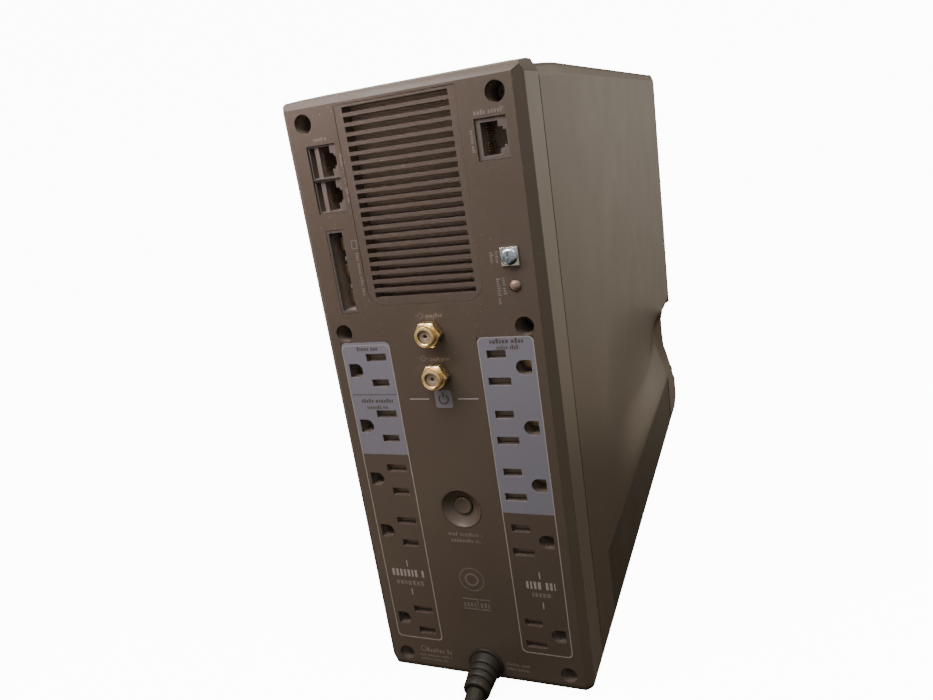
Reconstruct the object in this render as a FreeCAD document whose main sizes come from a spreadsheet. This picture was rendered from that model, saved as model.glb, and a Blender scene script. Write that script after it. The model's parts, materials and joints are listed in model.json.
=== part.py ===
"""Tower uninterruptible power supply, modelled as its separate pieces.

Frame: +Z up, the rear panel faces +Y, the display faces -Y, millimetres.
The origin is on the floor, under the middle of the unit with its connectors.
"""
import FreeCAD, Part
import math
import os
import re

import Sketcher

DRIVING = {
    # casing
    "body_width": 112.0,
    "body_height": 301.0,
    "rear_face": 187.0,
    "front_face": -195.0,
    "base_level": 2.2,
    "wall_depth": 2.5,
    "fit_gap": 0.3,
    "seam_gap": 1.0,
    "bezel_depth": 25.0,
    "front_depth": 7.0,
    "rear_bevel": 4.0,
    "front_bow": 3.5,
    "shoulder_drop": 2.5,
    "rear_slope": 4.0,
    "notch_top": 104.0,
    "notch_back": -147.0,
    # rear panel
    "label_depth": 0.4,
    "strip_centre": 34.75,
    "strip_width": 25.9,
    "strip_low": 23.5,
    "strip_high": 185.6,
    "strip_depth": 18.0,
    "blade_centre": 29.9,
    "blade_spread": 6.35,
    "blade_slot_height": 3.7,
    "blade_slot_long": 10.5,
    "blade_slot_short": 8.8,
    "ground_centre": 41.8,
    "ground_width": 7.1,
    "ground_height": 6.8,
    "outlet_hole_depth": 15.0,
    "ground_hole_depth": 9.0,
    "shutter_depth": 3.4,
    "vent_half_width": 28.0,
    "vent_low": 204.4,
    "vent_high": 292.4,
    "louvre_pitch": 4.03,
    "louvre_height": 2.4,
    "louvre_half_width": 24.5,
    "louvre_depth": 7.5,
    "screw_x": 44.5,
    "screw_recess_radius": 4.2,
    "coax_radius": 4.75,
    "coax_reach": 7.8,
    "coax_nut_end": 5.2,
    "coax_x": -0.4,
    "coax_in_level": 190.8,
    "coax_out_level": 170.8,
    "breaker_level": 102.3,
    "breaker_x": -0.9,
    "breaker_radius": 10.4,
    "breaker_button_radius": 4.6,
    "cord_level": 13.0,
    "cord_x": -1.0,
    # inside
    "fan_level": 248.0,
    "fan_half": 30.0,
    "fan_depth": 15.0,
    "fan_setback": 25.0,
    "battery_width": 94.0,
    "battery_depth": 65.0,
    "battery_height": 151.0,
    "core_depth": 114.0,
    "core_height": 95.0,
    "core_stack": 62.0,
    # mains lead
    "lead_diameter": 9.0,
    "relief_reach": 17.0,
    "relief_drop": 3.2,
    "coil_radius": 47.5,
    "coil_section_radius": 11.5,
    "coil_centre_y": 362.0,
}

OUTLET_LEVELS = (173.4, 144.9, 116.4, 87.3, 35.3)
SCREW_LEVELS = (287.1, 192.0, 13.1)
LOUVRES = 21
LOWEST_LOUVRE = 209.4
FAN_BLADES = 7

doc = FreeCAD.newDocument("power_supply")
sheet = doc.addObject("Spreadsheet::Sheet", "dims")
for row, (alias, size) in enumerate(DRIVING.items(), 1):
    sheet.set(f"A{row}", alias)
    sheet.set(f"B{row}", str(size))
    sheet.setAlias(f"B{row}", alias)
doc.recompute()

ALIAS = re.compile("|".join(rf"\b{alias}\b" for alias in DRIVING))
SUB_PARTS = []


# ---------------------------------------------------------------- helpers
def bind(thing, prop, formula):
    """Bind a property to a formula written with the sheet's aliases."""
    thing.setExpression(prop, ALIAS.sub(lambda found: "dims." + found.group(0), str(formula)))


def cell(alias):
    """The sheet's value of one driving dimension."""
    return float(sheet.get(alias))


def sub_part(label, thing):
    """Make a document object one of the parts that are written out."""
    thing.Label = label
    SUB_PARTS.append(thing)
    return thing


def block(name, x, y, z):
    """A box between a low and a high formula on each axis."""
    box = doc.addObject("Part::Box", name)
    for prop, axis, (low, high) in zip(("Length", "Width", "Height"), "xyz", (x, y, z)):
        bind(box, prop, f"({high}) - ({low})")
        bind(box, f".Placement.Base.{axis}", low)
    return box


TURN_TO = {
    "x": FreeCAD.Rotation(FreeCAD.Vector(0, 1, 0), 90),
    "y": FreeCAD.Rotation(FreeCAD.Vector(1, 0, 0), -90),
    "z": FreeCAD.Rotation(),
}


def rod(name, axis, radius, start, length):
    """A cylinder along +axis from its start point."""
    cylinder = doc.addObject("Part::Cylinder", name)
    bind(cylinder, "Radius", radius)
    bind(cylinder, "Height", length)
    return place(cylinder, axis, start)


def taper(name, axis, radii, start, length):
    """A cone frustum along +axis from its start point."""
    cone = doc.addObject("Part::Cone", name)
    bind(cone, "Radius1", radii[0])
    bind(cone, "Radius2", radii[1])
    bind(cone, "Height", length)
    return place(cone, axis, start)


def hexagon(name, axis, corner_radius, start, length):
    """A six-sided prism along +axis from its start point."""
    prism = doc.addObject("Part::Prism", name)
    prism.Polygon = 6
    bind(prism, "Circumradius", corner_radius)
    bind(prism, "Height", length)
    return place(prism, axis, start)


def ball(name, radius, centre):
    sphere = doc.addObject("Part::Sphere", name)
    bind(sphere, "Radius", radius)
    return place(sphere, "z", centre)


def place(thing, axis, start):
    thing.Placement = FreeCAD.Placement(FreeCAD.Vector(), TURN_TO[axis])
    for letter, formula in zip("xyz", start):
        bind(thing, f".Placement.Base.{letter}", formula)
    return thing


def fuse(name, pieces):
    if len(pieces) == 1:
        return pieces[0]
    union = doc.addObject("Part::MultiFuse", name)
    union.Shapes = pieces
    return union


def group(name, pieces):
    """Separate solids that share one part."""
    compound = doc.addObject("Part::Compound", name)
    compound.Links = pieces
    return compound


def cut(name, base, tools):
    difference = doc.addObject("Part::Cut", name)
    difference.Base = base
    difference.Tool = fuse(name + "_tools", tools)
    return difference


def common(name, pieces):
    meeting = doc.addObject("Part::MultiCommon", name)
    meeting.Shapes = pieces
    return meeting


def origin_plane(body, role):
    return next(plane for plane in body.Origin.OriginFeatures if plane.Role == role)


def outline(body, role, corners):
    """A closed sketch of straight sides, each corner bound to the sheet."""
    sketch = body.newObject("Sketcher::SketchObject", body.Name + "_outline")
    sketch.AttachmentSupport = [(origin_plane(body, role), "")]
    sketch.MapMode = "FlatFace"
    count = len(corners)
    ring = []
    for index in range(count):
        angle = 2 * math.pi * index / count
        ring.append(FreeCAD.Vector(100 * math.cos(angle), 100 * math.sin(angle), 0))
    for index in range(count):
        sketch.addGeometry(Part.LineSegment(ring[index], ring[(index + 1) % count]), False)
    for index in range(count):
        joined = Sketcher.Constraint("Coincident", index, 2, (index + 1) % count, 1)
        sketch.addConstraint(joined)
    for index, corner in enumerate(corners):
        for kind, start, formula in zip(("DistanceX", "DistanceY"), ring[index], corner):
            size = Sketcher.Constraint(kind, -1, 1, index, 1, start)
            bind(sketch, f"Constraints[{sketch.addConstraint(size)}]", formula)
    return sketch


PLANE_AXES = {"XY_Plane": (0, 1), "XZ_Plane": (0, 2), "YZ_Plane": (1, 2)}


def padded(name, role, corners, length, midplane=True, rounded=()):
    """A body padded from an outline; rounded lists (radius, [corner numbers])."""
    body = doc.addObject("PartDesign::Body", name)
    sketch = outline(body, role, corners)
    pad = body.newObject("PartDesign::Pad", name + "_pad")
    pad.Profile = sketch
    pad.Midplane = midplane
    bind(pad, "Length", length)
    doc.recompute()
    spots = [(line.StartPoint.x, line.StartPoint.y) for line in sketch.Geometry]
    for number, (radius, chosen) in enumerate(rounded):
        base = body.Tip
        corner = body.newObject("PartDesign::Fillet", f"{name}_round_{number}")
        corner.Base = (base, edges_over(base.Shape, role, [spots[i] for i in chosen]))
        bind(corner, "Radius", radius)
        doc.recompute()
    return body


def edges_over(shape, role, spots):
    """Names of the straight edges that stand over the outline's corners."""
    first, second = PLANE_AXES[role]
    names = []
    for number, edge in enumerate(shape.Edges, 1):
        ends = [vertex.Point for vertex in edge.Vertexes]
        over = len(ends) == 2 and any(
            all(math.hypot(end[first] - u, end[second] - v) < 0.01 for end in ends)
            for u, v in spots
        )
        if over:
            names.append(f"Edge{number}")
    return names


def mirrored(name, thing):
    """The same shape on the other side of the middle plane."""
    twin = doc.addObject("Part::Mirroring", name)
    twin.Source = thing
    twin.Normal = FreeCAD.Vector(1, 0, 0)
    return twin


# ---------------------------------------------------------------- casing forms
def side_outline(inset):
    """Side view of the unit: sloped rear top, and the notch under the front panel."""
    return [
        (f"rear_face - {inset}", f"base_level + {inset}"),
        (f"rear_face - {inset}", f"body_height - 7.4 - {inset}"),
        (f"rear_face - rear_bevel - {inset}", f"body_height - rear_slope - {inset}"),
        (f"rear_face - bezel_depth", f"body_height - 1.5 - {inset}"),
        (f"rear_face - 70", f"body_height - {inset}"),
        (f"front_face + {inset}", f"body_height - {inset}"),
        (f"front_face + {inset}", f"notch_top + {inset}"),
        (f"notch_back + {inset}", f"notch_top + {inset}"),
        (f"notch_back + {inset}", f"notch_top - 26 - {inset} / 3"),
        (f"front_face + {inset}", f"notch_top - 68"),
        (f"front_face + {inset}", f"base_level + 12"),
        (f"front_face + 26", f"base_level + {inset}"),
    ]


def section_outline(inset):
    """End view of the unit: crowned top with bevelled shoulders."""
    half = f"body_width / 2 - {inset}"
    right = [
        (half, f"base_level + {inset}"),
        (half, f"body_height - 8 - {inset}"),
        (f"body_width / 2 - 2.6 - {inset}", f"body_height - shoulder_drop - {inset}"),
        ("body_width / 4 - 1", f"body_height - {inset}"),
    ]
    left = [(f"-({x})", z) for x, z in reversed(right)]
    return right + left


def plan_outline(inset):
    """Top view of the unit: bevelled rear corners and a bowed front."""
    half = f"body_width / 2 - {inset}"
    right = [
        (f"{half} - rear_bevel", f"rear_face - {inset}"),
        (half, f"rear_face - rear_bevel - {inset}"),
        (half, f"front_face + front_bow + {inset}"),
        ("body_width / 4", f"front_face + front_bow / 4 + {inset}"),
        ("body_width / 12", f"front_face + {inset}"),
    ]
    left = [(f"-({x})", y) for x, y in reversed(right)]
    return right + left


def casing_form(name, inset, soft):
    """The solid outer form (inset 0) or the hollow inside it."""
    side = padded(
        name + "_side", "YZ_Plane", side_outline(inset), "body_width + 4",
        rounded=[(f"{6 * soft}", [0, 7]), (f"{12 * soft}", [5]), (f"{8 * soft}", [6]),
                 (f"{14 * soft}", [9, 10])],
    )
    section = padded(
        name + "_section", "XZ_Plane", section_outline(inset), "body_width * 8",
        rounded=[(f"{6 * soft}", [0, 7])],
    )
    plan = padded(
        name + "_plan", "XY_Plane", plan_outline(inset), "body_height + 4", midplane=False,
        rounded=[(f"{3 * soft}", [2, 7])],
    )
    return common(name, [side, section, plan])


form = casing_form("outer_form", 0, 1.0)
hollow = casing_form("inner_form", "wall_depth", 0.6)


# ---------------------------------------------------------------- main shell
def side_scoop(name, grow):
    """The tapering hollow that runs back and up from the notch on one side."""
    start = FreeCAD.Vector(-(cell("body_width") / 2 + 24.0), cell("notch_back") - 14.0, 84.0)
    end = FreeCAD.Vector(-(cell("body_width") / 2 + 0.6), 62.0, 160.0)
    cone = doc.addObject("Part::Cone", name)
    bind(cone, "Radius1", f"29.5 + {grow}")
    bind(cone, "Radius2", f"0.8 + {grow}")
    cone.Height = (end - start).Length
    turn = FreeCAD.Rotation(FreeCAD.Vector(0, 0, 1), end - start)
    cone.Placement = FreeCAD.Placement(start, turn)
    return cone


scoops = [side_scoop("scoop_right", "0")]
scoops.append(mirrored("scoop_left", scoops[0]))
scoop_walls = [side_scoop("scoop_wall_right", "wall_depth")]
scoop_walls.append(mirrored("scoop_wall_left", scoop_walls[0]))

COVER_SIDE = ("rear_face - 335 - fit_gap", "rear_face - 58.5 + fit_gap")
COVER_BASE = ("rear_face - 313 - fit_gap", "rear_face - 171 + fit_gap")


def main_shell():
    """Sides, top, base and lower front of the casing, open at the rear."""
    seam = "rear_face - bezel_depth"
    whole = common("shell_form", [
        form,
        block("shell_reach", ("-body_width", "body_width"), ("front_face - 1", seam),
              (0, "body_height + 1")),
    ])
    room = cut("shell_room", hollow, scoop_walls)
    through = block("shell_mouth", ("-body_width / 2 + wall_depth", "body_width / 2 - wall_depth"),
                    (f"{seam} - 1", f"{seam} + 1"),
                    ("base_level + wall_depth", "body_height - 8"))
    front = block("front_mouth", ("-body_width", "body_width"),
                  ("front_face - 1", "front_face + front_depth + fit_gap"),
                  ("notch_top - 4", "body_height + 1"))
    side_way = block("cover_side_way", ("-body_width", "-body_width / 2 + wall_depth + 1"),
                     COVER_SIDE, (0, "46.75 + fit_gap"))
    base_way = block("cover_base_way", ("-body_width", "44 + fit_gap"), COVER_BASE,
                     (0, "base_level + wall_depth + 1"))
    return sub_part("main_shell", cut("main_shell", whole, [
        room, through, front, side_way, base_way] + scoops))


def battery_cover():
    """Side panel with a base plate that closes the battery bay from below."""
    side = block("cover_side", ("-body_width / 2 + 0.5", "-body_width / 2 + wall_depth"),
                 ("rear_face - 335", "rear_face - 58.5"), (0, 46.75))
    base = block("cover_base", ("-body_width / 2 + 0.5", 44), ("rear_face - 313", "rear_face - 171"),
                 (0, "base_level + wall_depth"))
    cover_plates = fuse("cover_plates", [side, base])
    return sub_part("battery_cover", common("battery_cover", [form, cover_plates]))


def rubber_feet():
    feet = []
    for name, x, y in (("a", 42, 146), ("b", -42, 146), ("c", 42, -155), ("d", -42, -155)):
        feet.append(taper(f"foot_{name}", "z", (6.2, 7.2), (x, y, 0), "base_level"))
    return sub_part("rubber_feet", group("rubber_feet", feet))


# ---------------------------------------------------------------- rear bezel
def strip_box(name, side, y, grow="0"):
    """The upright rectangle that holds one column of outlets."""
    centre = f"{side} * strip_centre"
    return block(name, (f"{centre} - strip_width / 2 - {grow}", f"{centre} + strip_width / 2 + {grow}"),
                 y, (f"strip_low - {grow}", f"strip_high + {grow}"))


LABEL_SPANS = {1: ("130", "187.3"), -1: ("101.7", "187.5")}
# Each data socket: its width, its height, its mouth as (from x, to x, half height), its contacts' x
JACKS = {
    "dataline_jack_upper": ((30.8, 45.0), (262.9, 277.4),
                            ((34.2, 44.3, 6.5), (32.6, 34.3, 3.3), (31.6, 32.7, 2.1)), 39.4),
    "dataline_jack_lower": ((30.8, 45.0), (248.1, 262.6),
                            ((34.2, 44.3, 6.5), (32.6, 34.3, 3.3), (31.6, 32.7, 2.1)), 39.4),
    "data_port_jack": ((-47.7, -34.3), (261.5, 277.9),
                       ((-43.7, -36.5, 6.5), (-45.6, -43.6, 4.1), (-47.0, -45.5, 2.9)), -37.9),
}
CONTACT_PITCH = 1.02
BATTERY_PORT = ((34.6, 43.5), (201.7, 240.3))


def rear_bezel():
    """Moulded rear panel with its deep rim, screw wells and openings."""
    inner_wall = "rear_face - 3"
    whole = common("bezel_form", [
        form,
        block("bezel_reach", ("-body_width", "body_width"),
              ("rear_face - bezel_depth + seam_gap", "rear_face + 1"), (0, "body_height + 1")),
    ])
    room = common("bezel_room", [
        hollow,
        block("bezel_hollow_reach", ("-body_width", "body_width"),
              ("rear_face - bezel_depth - 1", inner_wall), (0, "body_height + 1")),
    ])
    wells, well_holes = [], []
    for side in (1, -1):
        for level in SCREW_LEVELS:
            spot = f"{side} * screw_x"
            tag = f"{'p' if side > 0 else 'n'}{int(level)}"
            wells.append(rod(f"well_{tag}", "y", "screw_recess_radius + 1.6",
                             (spot, "rear_face - 21", level), 19))
            well_holes.append(rod(f"well_hole_{tag}", "y", "screw_recess_radius",
                                  (spot, "rear_face - 17", level), 20))
            well_holes.append(rod(f"well_bore_{tag}", "y", 2,
                                  (spot, "rear_face - 24", level), 20))
    walls = cut("bezel_walls", whole, [room])
    tools = list(well_holes)
    for side in (1, -1):
        tools.append(strip_box(f"strip_way_{side + 1}", side, ("rear_face - 30", "rear_face + 1"), "0.1"))
        low, high = LABEL_SPANS[side]
        edge = f"{side} * strip_centre"
        tools.append(block(f"label_seat_{side + 1}",
                           (f"{edge} - strip_width / 2 - 0.1", f"{edge} + strip_width / 2 + 0.1"),
                           ("rear_face - label_depth", "rear_face + 1"), (low, f"{high} + 0.1")))
    tools.append(vent_plate("vent_way", "rear_face - 4", 5, "0.1"))
    for name, (x, z, _, _) in JACKS.items():
        tools.append(block(name + "_way", (x[0] - 0.1, x[1] + 0.1), ("rear_face - 5", "rear_face + 1"),
                           (z[0] - 0.1, z[1] + 0.1)))
    x, z = BATTERY_PORT
    tools.append(block("battery_port_way", (x[0] - 0.1, x[1] + 0.1), ("rear_face - 5", "rear_face + 1"),
                       (z[0] - 0.1, z[1] + 0.1)))
    for name, level in (("in", "coax_in_level"), ("out", "coax_out_level")):
        tools.append(rod(f"coax_way_{name}", "y", "coax_radius - 0.2",
                         ("coax_x", "rear_face - 5", level), 6))
    tools.append(rod("breaker_way", "y", "breaker_radius + 0.1",
                     ("breaker_x", "rear_face - 5", "breaker_level"), 6))
    tools.append(rod("relief_way", "y", 7.1, ("cord_x", "rear_face - 5", "cord_level"), 6))
    tools.append(rod("ground_way", "y", 2.6, (-42, "rear_face - 5", 222.2), 6))
    tools.append(rod("led_way", "y", 2.8, (-42.7, "rear_face - 5", 209.7), 6))
    body = fuse("bezel_body", [walls] + wells)
    return sub_part("rear_bezel", cut("rear_bezel", body, tools))


def vent_plate(name, start, depth, grow):
    """The upright plate of the vent, round at its two lower corners."""
    half = f"vent_half_width + {grow}"
    low, high = f"vent_low - {grow}", f"vent_high + {grow}"
    plate = padded(name, "XZ_Plane", [
        (f"-({half})", low), (half, low), (half, high), (f"-({half})", high),
    ], depth, midplane=False, rounded=[("8", [0, 1])])
    plate.Placement.Base = FreeCAD.Vector(0, 0, 0)
    bind(plate, ".Placement.Base.y", f"{start} + {depth}")
    return plate


def vent_grille():
    """Inset plate with a stack of level louvres, deeper than the plate is thick."""
    plate = vent_plate("vent_plate", "rear_face - 2.8", 2.6, "0")
    fins = block("vent_fins", ("-louvre_half_width - 1.5", "louvre_half_width + 1.5"),
                 ("rear_face - louvre_depth", "rear_face - 2.7"), ("vent_low + 2.6", "vent_high - 0.4"))
    blank = fuse("vent_blank", [plate, fins])
    slots = []
    for number in range(LOUVRES):
        middle = f"{LOWEST_LOUVRE} + {number} * louvre_pitch"
        slots.append(block(f"louvre_{number}", ("-louvre_half_width - 0.3", "louvre_half_width - 0.3"),
                           ("rear_face - louvre_depth - 1", "rear_face + 1"),
                           (f"{middle} - louvre_height / 2", f"{middle} + louvre_height / 2")))
    return sub_part("vent_grille", cut("vent_grille", blank, slots))


def case_screws():
    screws = []
    for side in (1, -1):
        for level in SCREW_LEVELS:
            spot = f"{side} * screw_x"
            tag = f"{'p' if side > 0 else 'n'}{int(level)}"
            head = rod(f"screw_head_{tag}", "y", 3.6, (spot, "rear_face - 17", level), 2.6)
            shank = rod(f"screw_shank_{tag}", "y", 1.9, (spot, "rear_face - 27", level), 10)
            drive = [block(f"screw_drive_a_{tag}", (f"{spot} - 2", f"{spot} + 2"),
                           ("rear_face - 15.6", "rear_face - 14"), (level - 0.4, level + 0.4)),
                     block(f"screw_drive_b_{tag}", (f"{spot} - 0.4", f"{spot} + 0.4"),
                           ("rear_face - 15.6", "rear_face - 14"), (level - 2, level + 2))]
            screws.append(cut(f"screw_{tag}", fuse(f"screw_blank_{tag}", [head, shank]), drive))
    return sub_part("case_screws", group("case_screws", screws))


def outlet_holes(name, side, start, end, ground_start):
    """Blade slots and ground holes of one column, for five outlets."""
    tools = []
    for number, level in enumerate(OUTLET_LEVELS):
        for up in (1, -1):
            size = "blade_slot_long" if up == side else "blade_slot_short"
            middle = f"{side} * blade_centre"
            height = f"{level} + {up} * blade_spread"
            tools.append(block(f"{name}_slot_{number}_{up + 1}",
                               (f"{middle} - {size} / 2", f"{middle} + {size} / 2"), (start, end),
                               (f"{height} - blade_slot_height / 2", f"{height} + blade_slot_height / 2")))
        turn = f"{side} * (ground_centre - ground_width / 2 + ground_height / 2)"
        outer = f"{side} * (ground_centre + ground_width / 2)"
        low, high = (turn, outer) if side > 0 else (outer, turn)
        tools.append(rod(f"{name}_round_{number}", "y", "ground_height / 2", (turn, ground_start, level),
                         f"({end}) - ({ground_start})"))
        tools.append(block(f"{name}_flat_{number}", (low, high), (ground_start, end),
                           (f"{level} - ground_height / 2", f"{level} + ground_height / 2")))
    return tools


def outlet_strip(label, side):
    """Insulating block with the entry holes of five outlets."""
    blank = strip_box(label + "_blank", side, ("rear_face - strip_depth", "rear_face"))
    tools = outlet_holes(label, side, "rear_face - outlet_hole_depth", "rear_face + 1",
                         "rear_face - ground_hole_depth")
    low, high = LABEL_SPANS[side]
    tools.append(block(label + "_seat", ("-body_width", "body_width"),
                       ("rear_face - label_depth", "rear_face + 1"), (low, f"{high} + 1")))
    return sub_part(label, cut(label, blank, tools))


def outlet_contacts(label, side):
    """Spring strips inside the blade slots, and a ground plate at each hole's end."""
    strips = []
    for number, level in enumerate(OUTLET_LEVELS):
        for up in (1, -1):
            middle = f"{side} * blade_centre"
            for lip in (1, -1):
                face = f"{level} + {up} * blade_spread + {lip} * (blade_slot_height / 2 - 0.35)"
                strips.append(block(f"{label}_{number}_{up + 1}_{lip + 1}",
                                    (f"{middle} - 3.6", f"{middle} + 3.6"),
                                    ("rear_face - outlet_hole_depth", "rear_face - 6"),
                                    (f"{face} - 0.35", f"{face} + 0.35")))
        strips.append(rod(f"{label}_ground_{number}", "y", 2.6,
                          (f"{side} * ground_centre", "rear_face - ground_hole_depth", level), 0.8))
    return sub_part(label, group(label, strips))


def outlet_shutters(label, side):
    """Small plates that stand inside the blade slots until a plug pushes them aside."""
    plates = []
    for number, level in enumerate(OUTLET_LEVELS):
        for up in (1, -1):
            size = "blade_slot_long" if up == side else "blade_slot_short"
            middle = f"{side} * blade_centre"
            height = f"{level} + {up} * blade_spread"
            plates.append(block(f"{label}_{number}_{up + 1}",
                                (f"{middle} - {size} / 2 + 0.1", f"{middle} + {size} / 2 - 0.1"),
                                ("rear_face - shutter_depth - 1.6", "rear_face - shutter_depth"),
                                (f"{height} - blade_slot_height / 2 + 0.1",
                                 f"{height} + blade_slot_height / 2 - 0.1")))
    return sub_part(label, group(label, plates))


def label_plate(label, side):
    """Thin printed plate over the upper outlets, pierced like the strip."""
    low, high = LABEL_SPANS[side]
    edges = [f"{side} * strip_centre - strip_width / 2", f"{side} * strip_centre + strip_width / 2"]
    plate = padded(label + "_blank", "XZ_Plane", [
        (edges[0], low), (edges[1], low), (edges[1], high), (edges[0], high),
    ], "label_depth", midplane=False, rounded=[("2.5", [2, 3])])
    bind(plate, ".Placement.Base.y", "rear_face")
    holes = outlet_holes(label, side, "rear_face - 1", "rear_face + 1", "rear_face - 1")
    return sub_part(label, cut(label, plate, holes))


# ---------------------------------------------------------------- small connectors
def modular_jack(label, x, z, mouth, contacts):
    """Data socket: a mouth stepped for the latch, and in the wide ones a comb for the contacts."""
    middle = (z[0] + z[1]) / 2
    body = block(label + "_blank", x, ("rear_face - 17", "rear_face - 0.8"), z)
    steps = []
    for number, (low, high, half) in enumerate(mouth):
        steps.append(block(f"{label}_mouth_{number}", (low, high), ("rear_face - 14", "rear_face + 1"),
                           (middle - half, middle + half)))
    pieces = [cut(label + "_shell", body, steps)]
    low, high, half = mouth[0]
    if high - low > 9:
        pieces.append(block(label + "_comb", (contacts + 0.5, contacts + 2.7),
                            ("rear_face - 14.5", "rear_face - 1.4"),
                            (middle - half - 0.2, middle + half + 0.2)))
    return sub_part(label, fuse(label, pieces))


def jack_contacts():
    """Eight fine gold wires in each data socket; the narrow one leaves out its two middle places."""
    wires = []
    for name, (x, z, mouth, side) in JACKS.items():
        places = range(8) if mouth[0][1] - mouth[0][0] > 9 else (0, 1, 2, 3, 6, 7, 8, 9)
        for number in places:
            height = (z[0] + z[1]) / 2 + (number - max(places) / 2) * CONTACT_PITCH
            wires.append(block(f"{name}_wire_{number}", (side, side + 0.4),
                               ("rear_face - 14", "rear_face - 4"), (height - 0.18, height + 0.18)))
    return sub_part("jack_contacts", group("jack_contacts", wires))


def battery_port():
    """Keyed socket for an extra battery, and its blades."""
    x, z = BATTERY_PORT
    blank = block("battery_port_blank", x, ("rear_face - 18", "rear_face - 0.2"), z)
    mouth = [block("battery_port_mouth", (x[0] + 1, x[1] - 1), ("rear_face - 15", "rear_face + 1"),
                   (z[0] + 1.2, z[1] - 1.2))]
    keys = [block(f"battery_port_key_{level}", (x[0] + 0.9, x[0] + 2.3),
                  ("rear_face - 15", "rear_face - 1.2"), (level - 1, level + 1)) for level in (214, 227)]
    shell = cut("battery_port_shell", blank, mouth)
    sub_part("battery_port", fuse("battery_port", [shell] + keys))
    blades = [block(f"port_blade_{level}", (38.2, 41.4), ("rear_face - 15", "rear_face - 7"),
                    (level - 3, level + 3)) for level in (208, 220.5, 233)]
    sub_part("battery_port_blades", group("battery_port_blades", blades))


def coax_connector(tag, level):
    """Threaded barrel through the panel, with its own hexagon nut."""
    barrel = rod(f"coax_barrel_{tag}_front", "y", "coax_radius",
                 ("coax_x", "rear_face + coax_nut_end + 0.1", level), "coax_reach - coax_nut_end - 0.1")
    stem = rod(f"coax_barrel_{tag}_stem", "y", "coax_radius - 0.3", ("coax_x", "rear_face - 12", level),
               "12 + coax_nut_end + 0.3")
    bore = rod(f"coax_barrel_{tag}_bore", "y", 3.2, ("coax_x", "rear_face - 6", level), 20)
    body = fuse(f"coax_barrel_{tag}_blank", [barrel, stem])
    sub_part(f"coax_barrel_{tag}", cut(f"coax_barrel_{tag}", body, [bore]))
    nut = hexagon(f"coax_nut_{tag}_hexagon", "y", 6.4, ("coax_x", "rear_face + 0.7", level),
                  "coax_nut_end - 0.7")
    washer = rod(f"coax_nut_{tag}_washer", "y", 6.9, ("coax_x", "rear_face", level), 0.8)
    hole = rod(f"coax_nut_{tag}_hole", "y", "coax_radius - 0.3", ("coax_x", "rear_face - 1", level), 10)
    ring = fuse(f"coax_nut_{tag}_blank", [nut, washer])
    sub_part(f"coax_nut_{tag}", cut(f"coax_nut_{tag}", ring, [hole]))
    plug = rod(f"coax_core_{tag}_blank", "y", 3.2, ("coax_x", "rear_face - 6", level), "6 + coax_nut_end")
    return cut(f"coax_core_{tag}", plug, [
        rod(f"coax_core_{tag}_hole", "y", 0.6, ("coax_x", "rear_face", level), 20)])


def ground_terminal():
    """Square washer and the screw that clamps a ground wire under it."""
    washer = block("ground_washer_blank", (-45.9, -38.1), ("rear_face", "rear_face + 0.8"), (218.3, 226.1))
    hole = rod("ground_washer_hole", "y", 2.6, (-42, "rear_face - 1", 222.2), 4)
    sub_part("ground_washer", cut("ground_washer", washer, [hole]))
    head = rod("ground_head", "y", 3.2, (-42, "rear_face + 1.0", 222.2), 1.7)
    shank = rod("ground_shank", "y", 2.2, (-42, "rear_face - 9", 222.2), 11)
    drive = [block("ground_drive_a", (-44, -40), ("rear_face + 1.8", "rear_face + 4"), (221.8, 222.6)),
             block("ground_drive_b", (-42.4, -41.6), ("rear_face + 1.8", "rear_face + 4"), (220.2, 224.2))]
    sub_part("ground_screw", cut("ground_screw", fuse("ground_screw_blank", [head, shank]), drive))


def fault_light():
    dome = ball("led_dome", 2.7, (-42.7, "rear_face - 1.4", 209.7))
    stem = rod("led_stem", "y", 2.7, (-42.7, "rear_face - 8", 209.7), 6.6)
    return sub_part("fault_led", fuse("fault_led", [dome, stem]))


def breaker():
    """Dished breaker body and its push-to-reset button."""
    collar = rod("breaker_collar", "y", "breaker_radius",
                 ("breaker_x", "rear_face - 9", "breaker_level"), 8.8)
    case = block("breaker_case", ("breaker_x - 9", "breaker_x + 9"), ("rear_face - 34", "rear_face - 9"),
                 ("breaker_level - 12", "breaker_level + 12"))
    dish = ball("breaker_dish", 13.4, ("breaker_x", "rear_face + 8.6", "breaker_level"))
    shaft = rod("breaker_shaft", "y", "breaker_button_radius + fit_gap",
                ("breaker_x", "rear_face - 16", "breaker_level"), 20)
    body = fuse("breaker_blank", [collar, case])
    sub_part("breaker_body", cut("breaker_body", body, [dish, shaft]))
    stem = rod("breaker_stem", "y", "breaker_button_radius",
               ("breaker_x", "rear_face - 12.5", "breaker_level"), 9.2)
    tip = ball("breaker_tip", 9, ("breaker_x", "rear_face - 10.9", "breaker_level"))
    tip_end = common("breaker_tip_end", [tip, rod("breaker_tip_reach", "y", "breaker_button_radius",
                                                  ("breaker_x", "rear_face - 5", "breaker_level"), 6)])
    sub_part("breaker_button", fuse("breaker_button", [stem, tip_end]))


# ---------------------------------------------------------------- front
LENS = ((-33.0, 33.0), (188.0, 232.0))
BUTTONS = {
    "power_button": (0.0, 168.0, 11.0, 7.0),
    "mute_button": (-24.5, 168.0, 8.0, 5.5),
    "display_button": (24.5, 168.0, 8.0, 5.5),
}


def key_shape(name, centre_x, centre_z, half_width, half_height, y, grow):
    """An upright stadium-like key blank, bounded by two y formulas."""
    low_x, high_x = centre_x - half_width - grow, centre_x + half_width + grow
    low_z, high_z = centre_z - half_height - grow, centre_z + half_height + grow
    blank = padded(name, "XZ_Plane", [(low_x, low_z), (high_x, low_z), (high_x, high_z), (low_x, high_z)],
                   f"({y[1]}) - ({y[0]})", midplane=False,
                   rounded=[(str(half_height * 0.7), [0, 1, 2, 3])])
    bind(blank, ".Placement.Base.y", y[1])
    return blank


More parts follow.
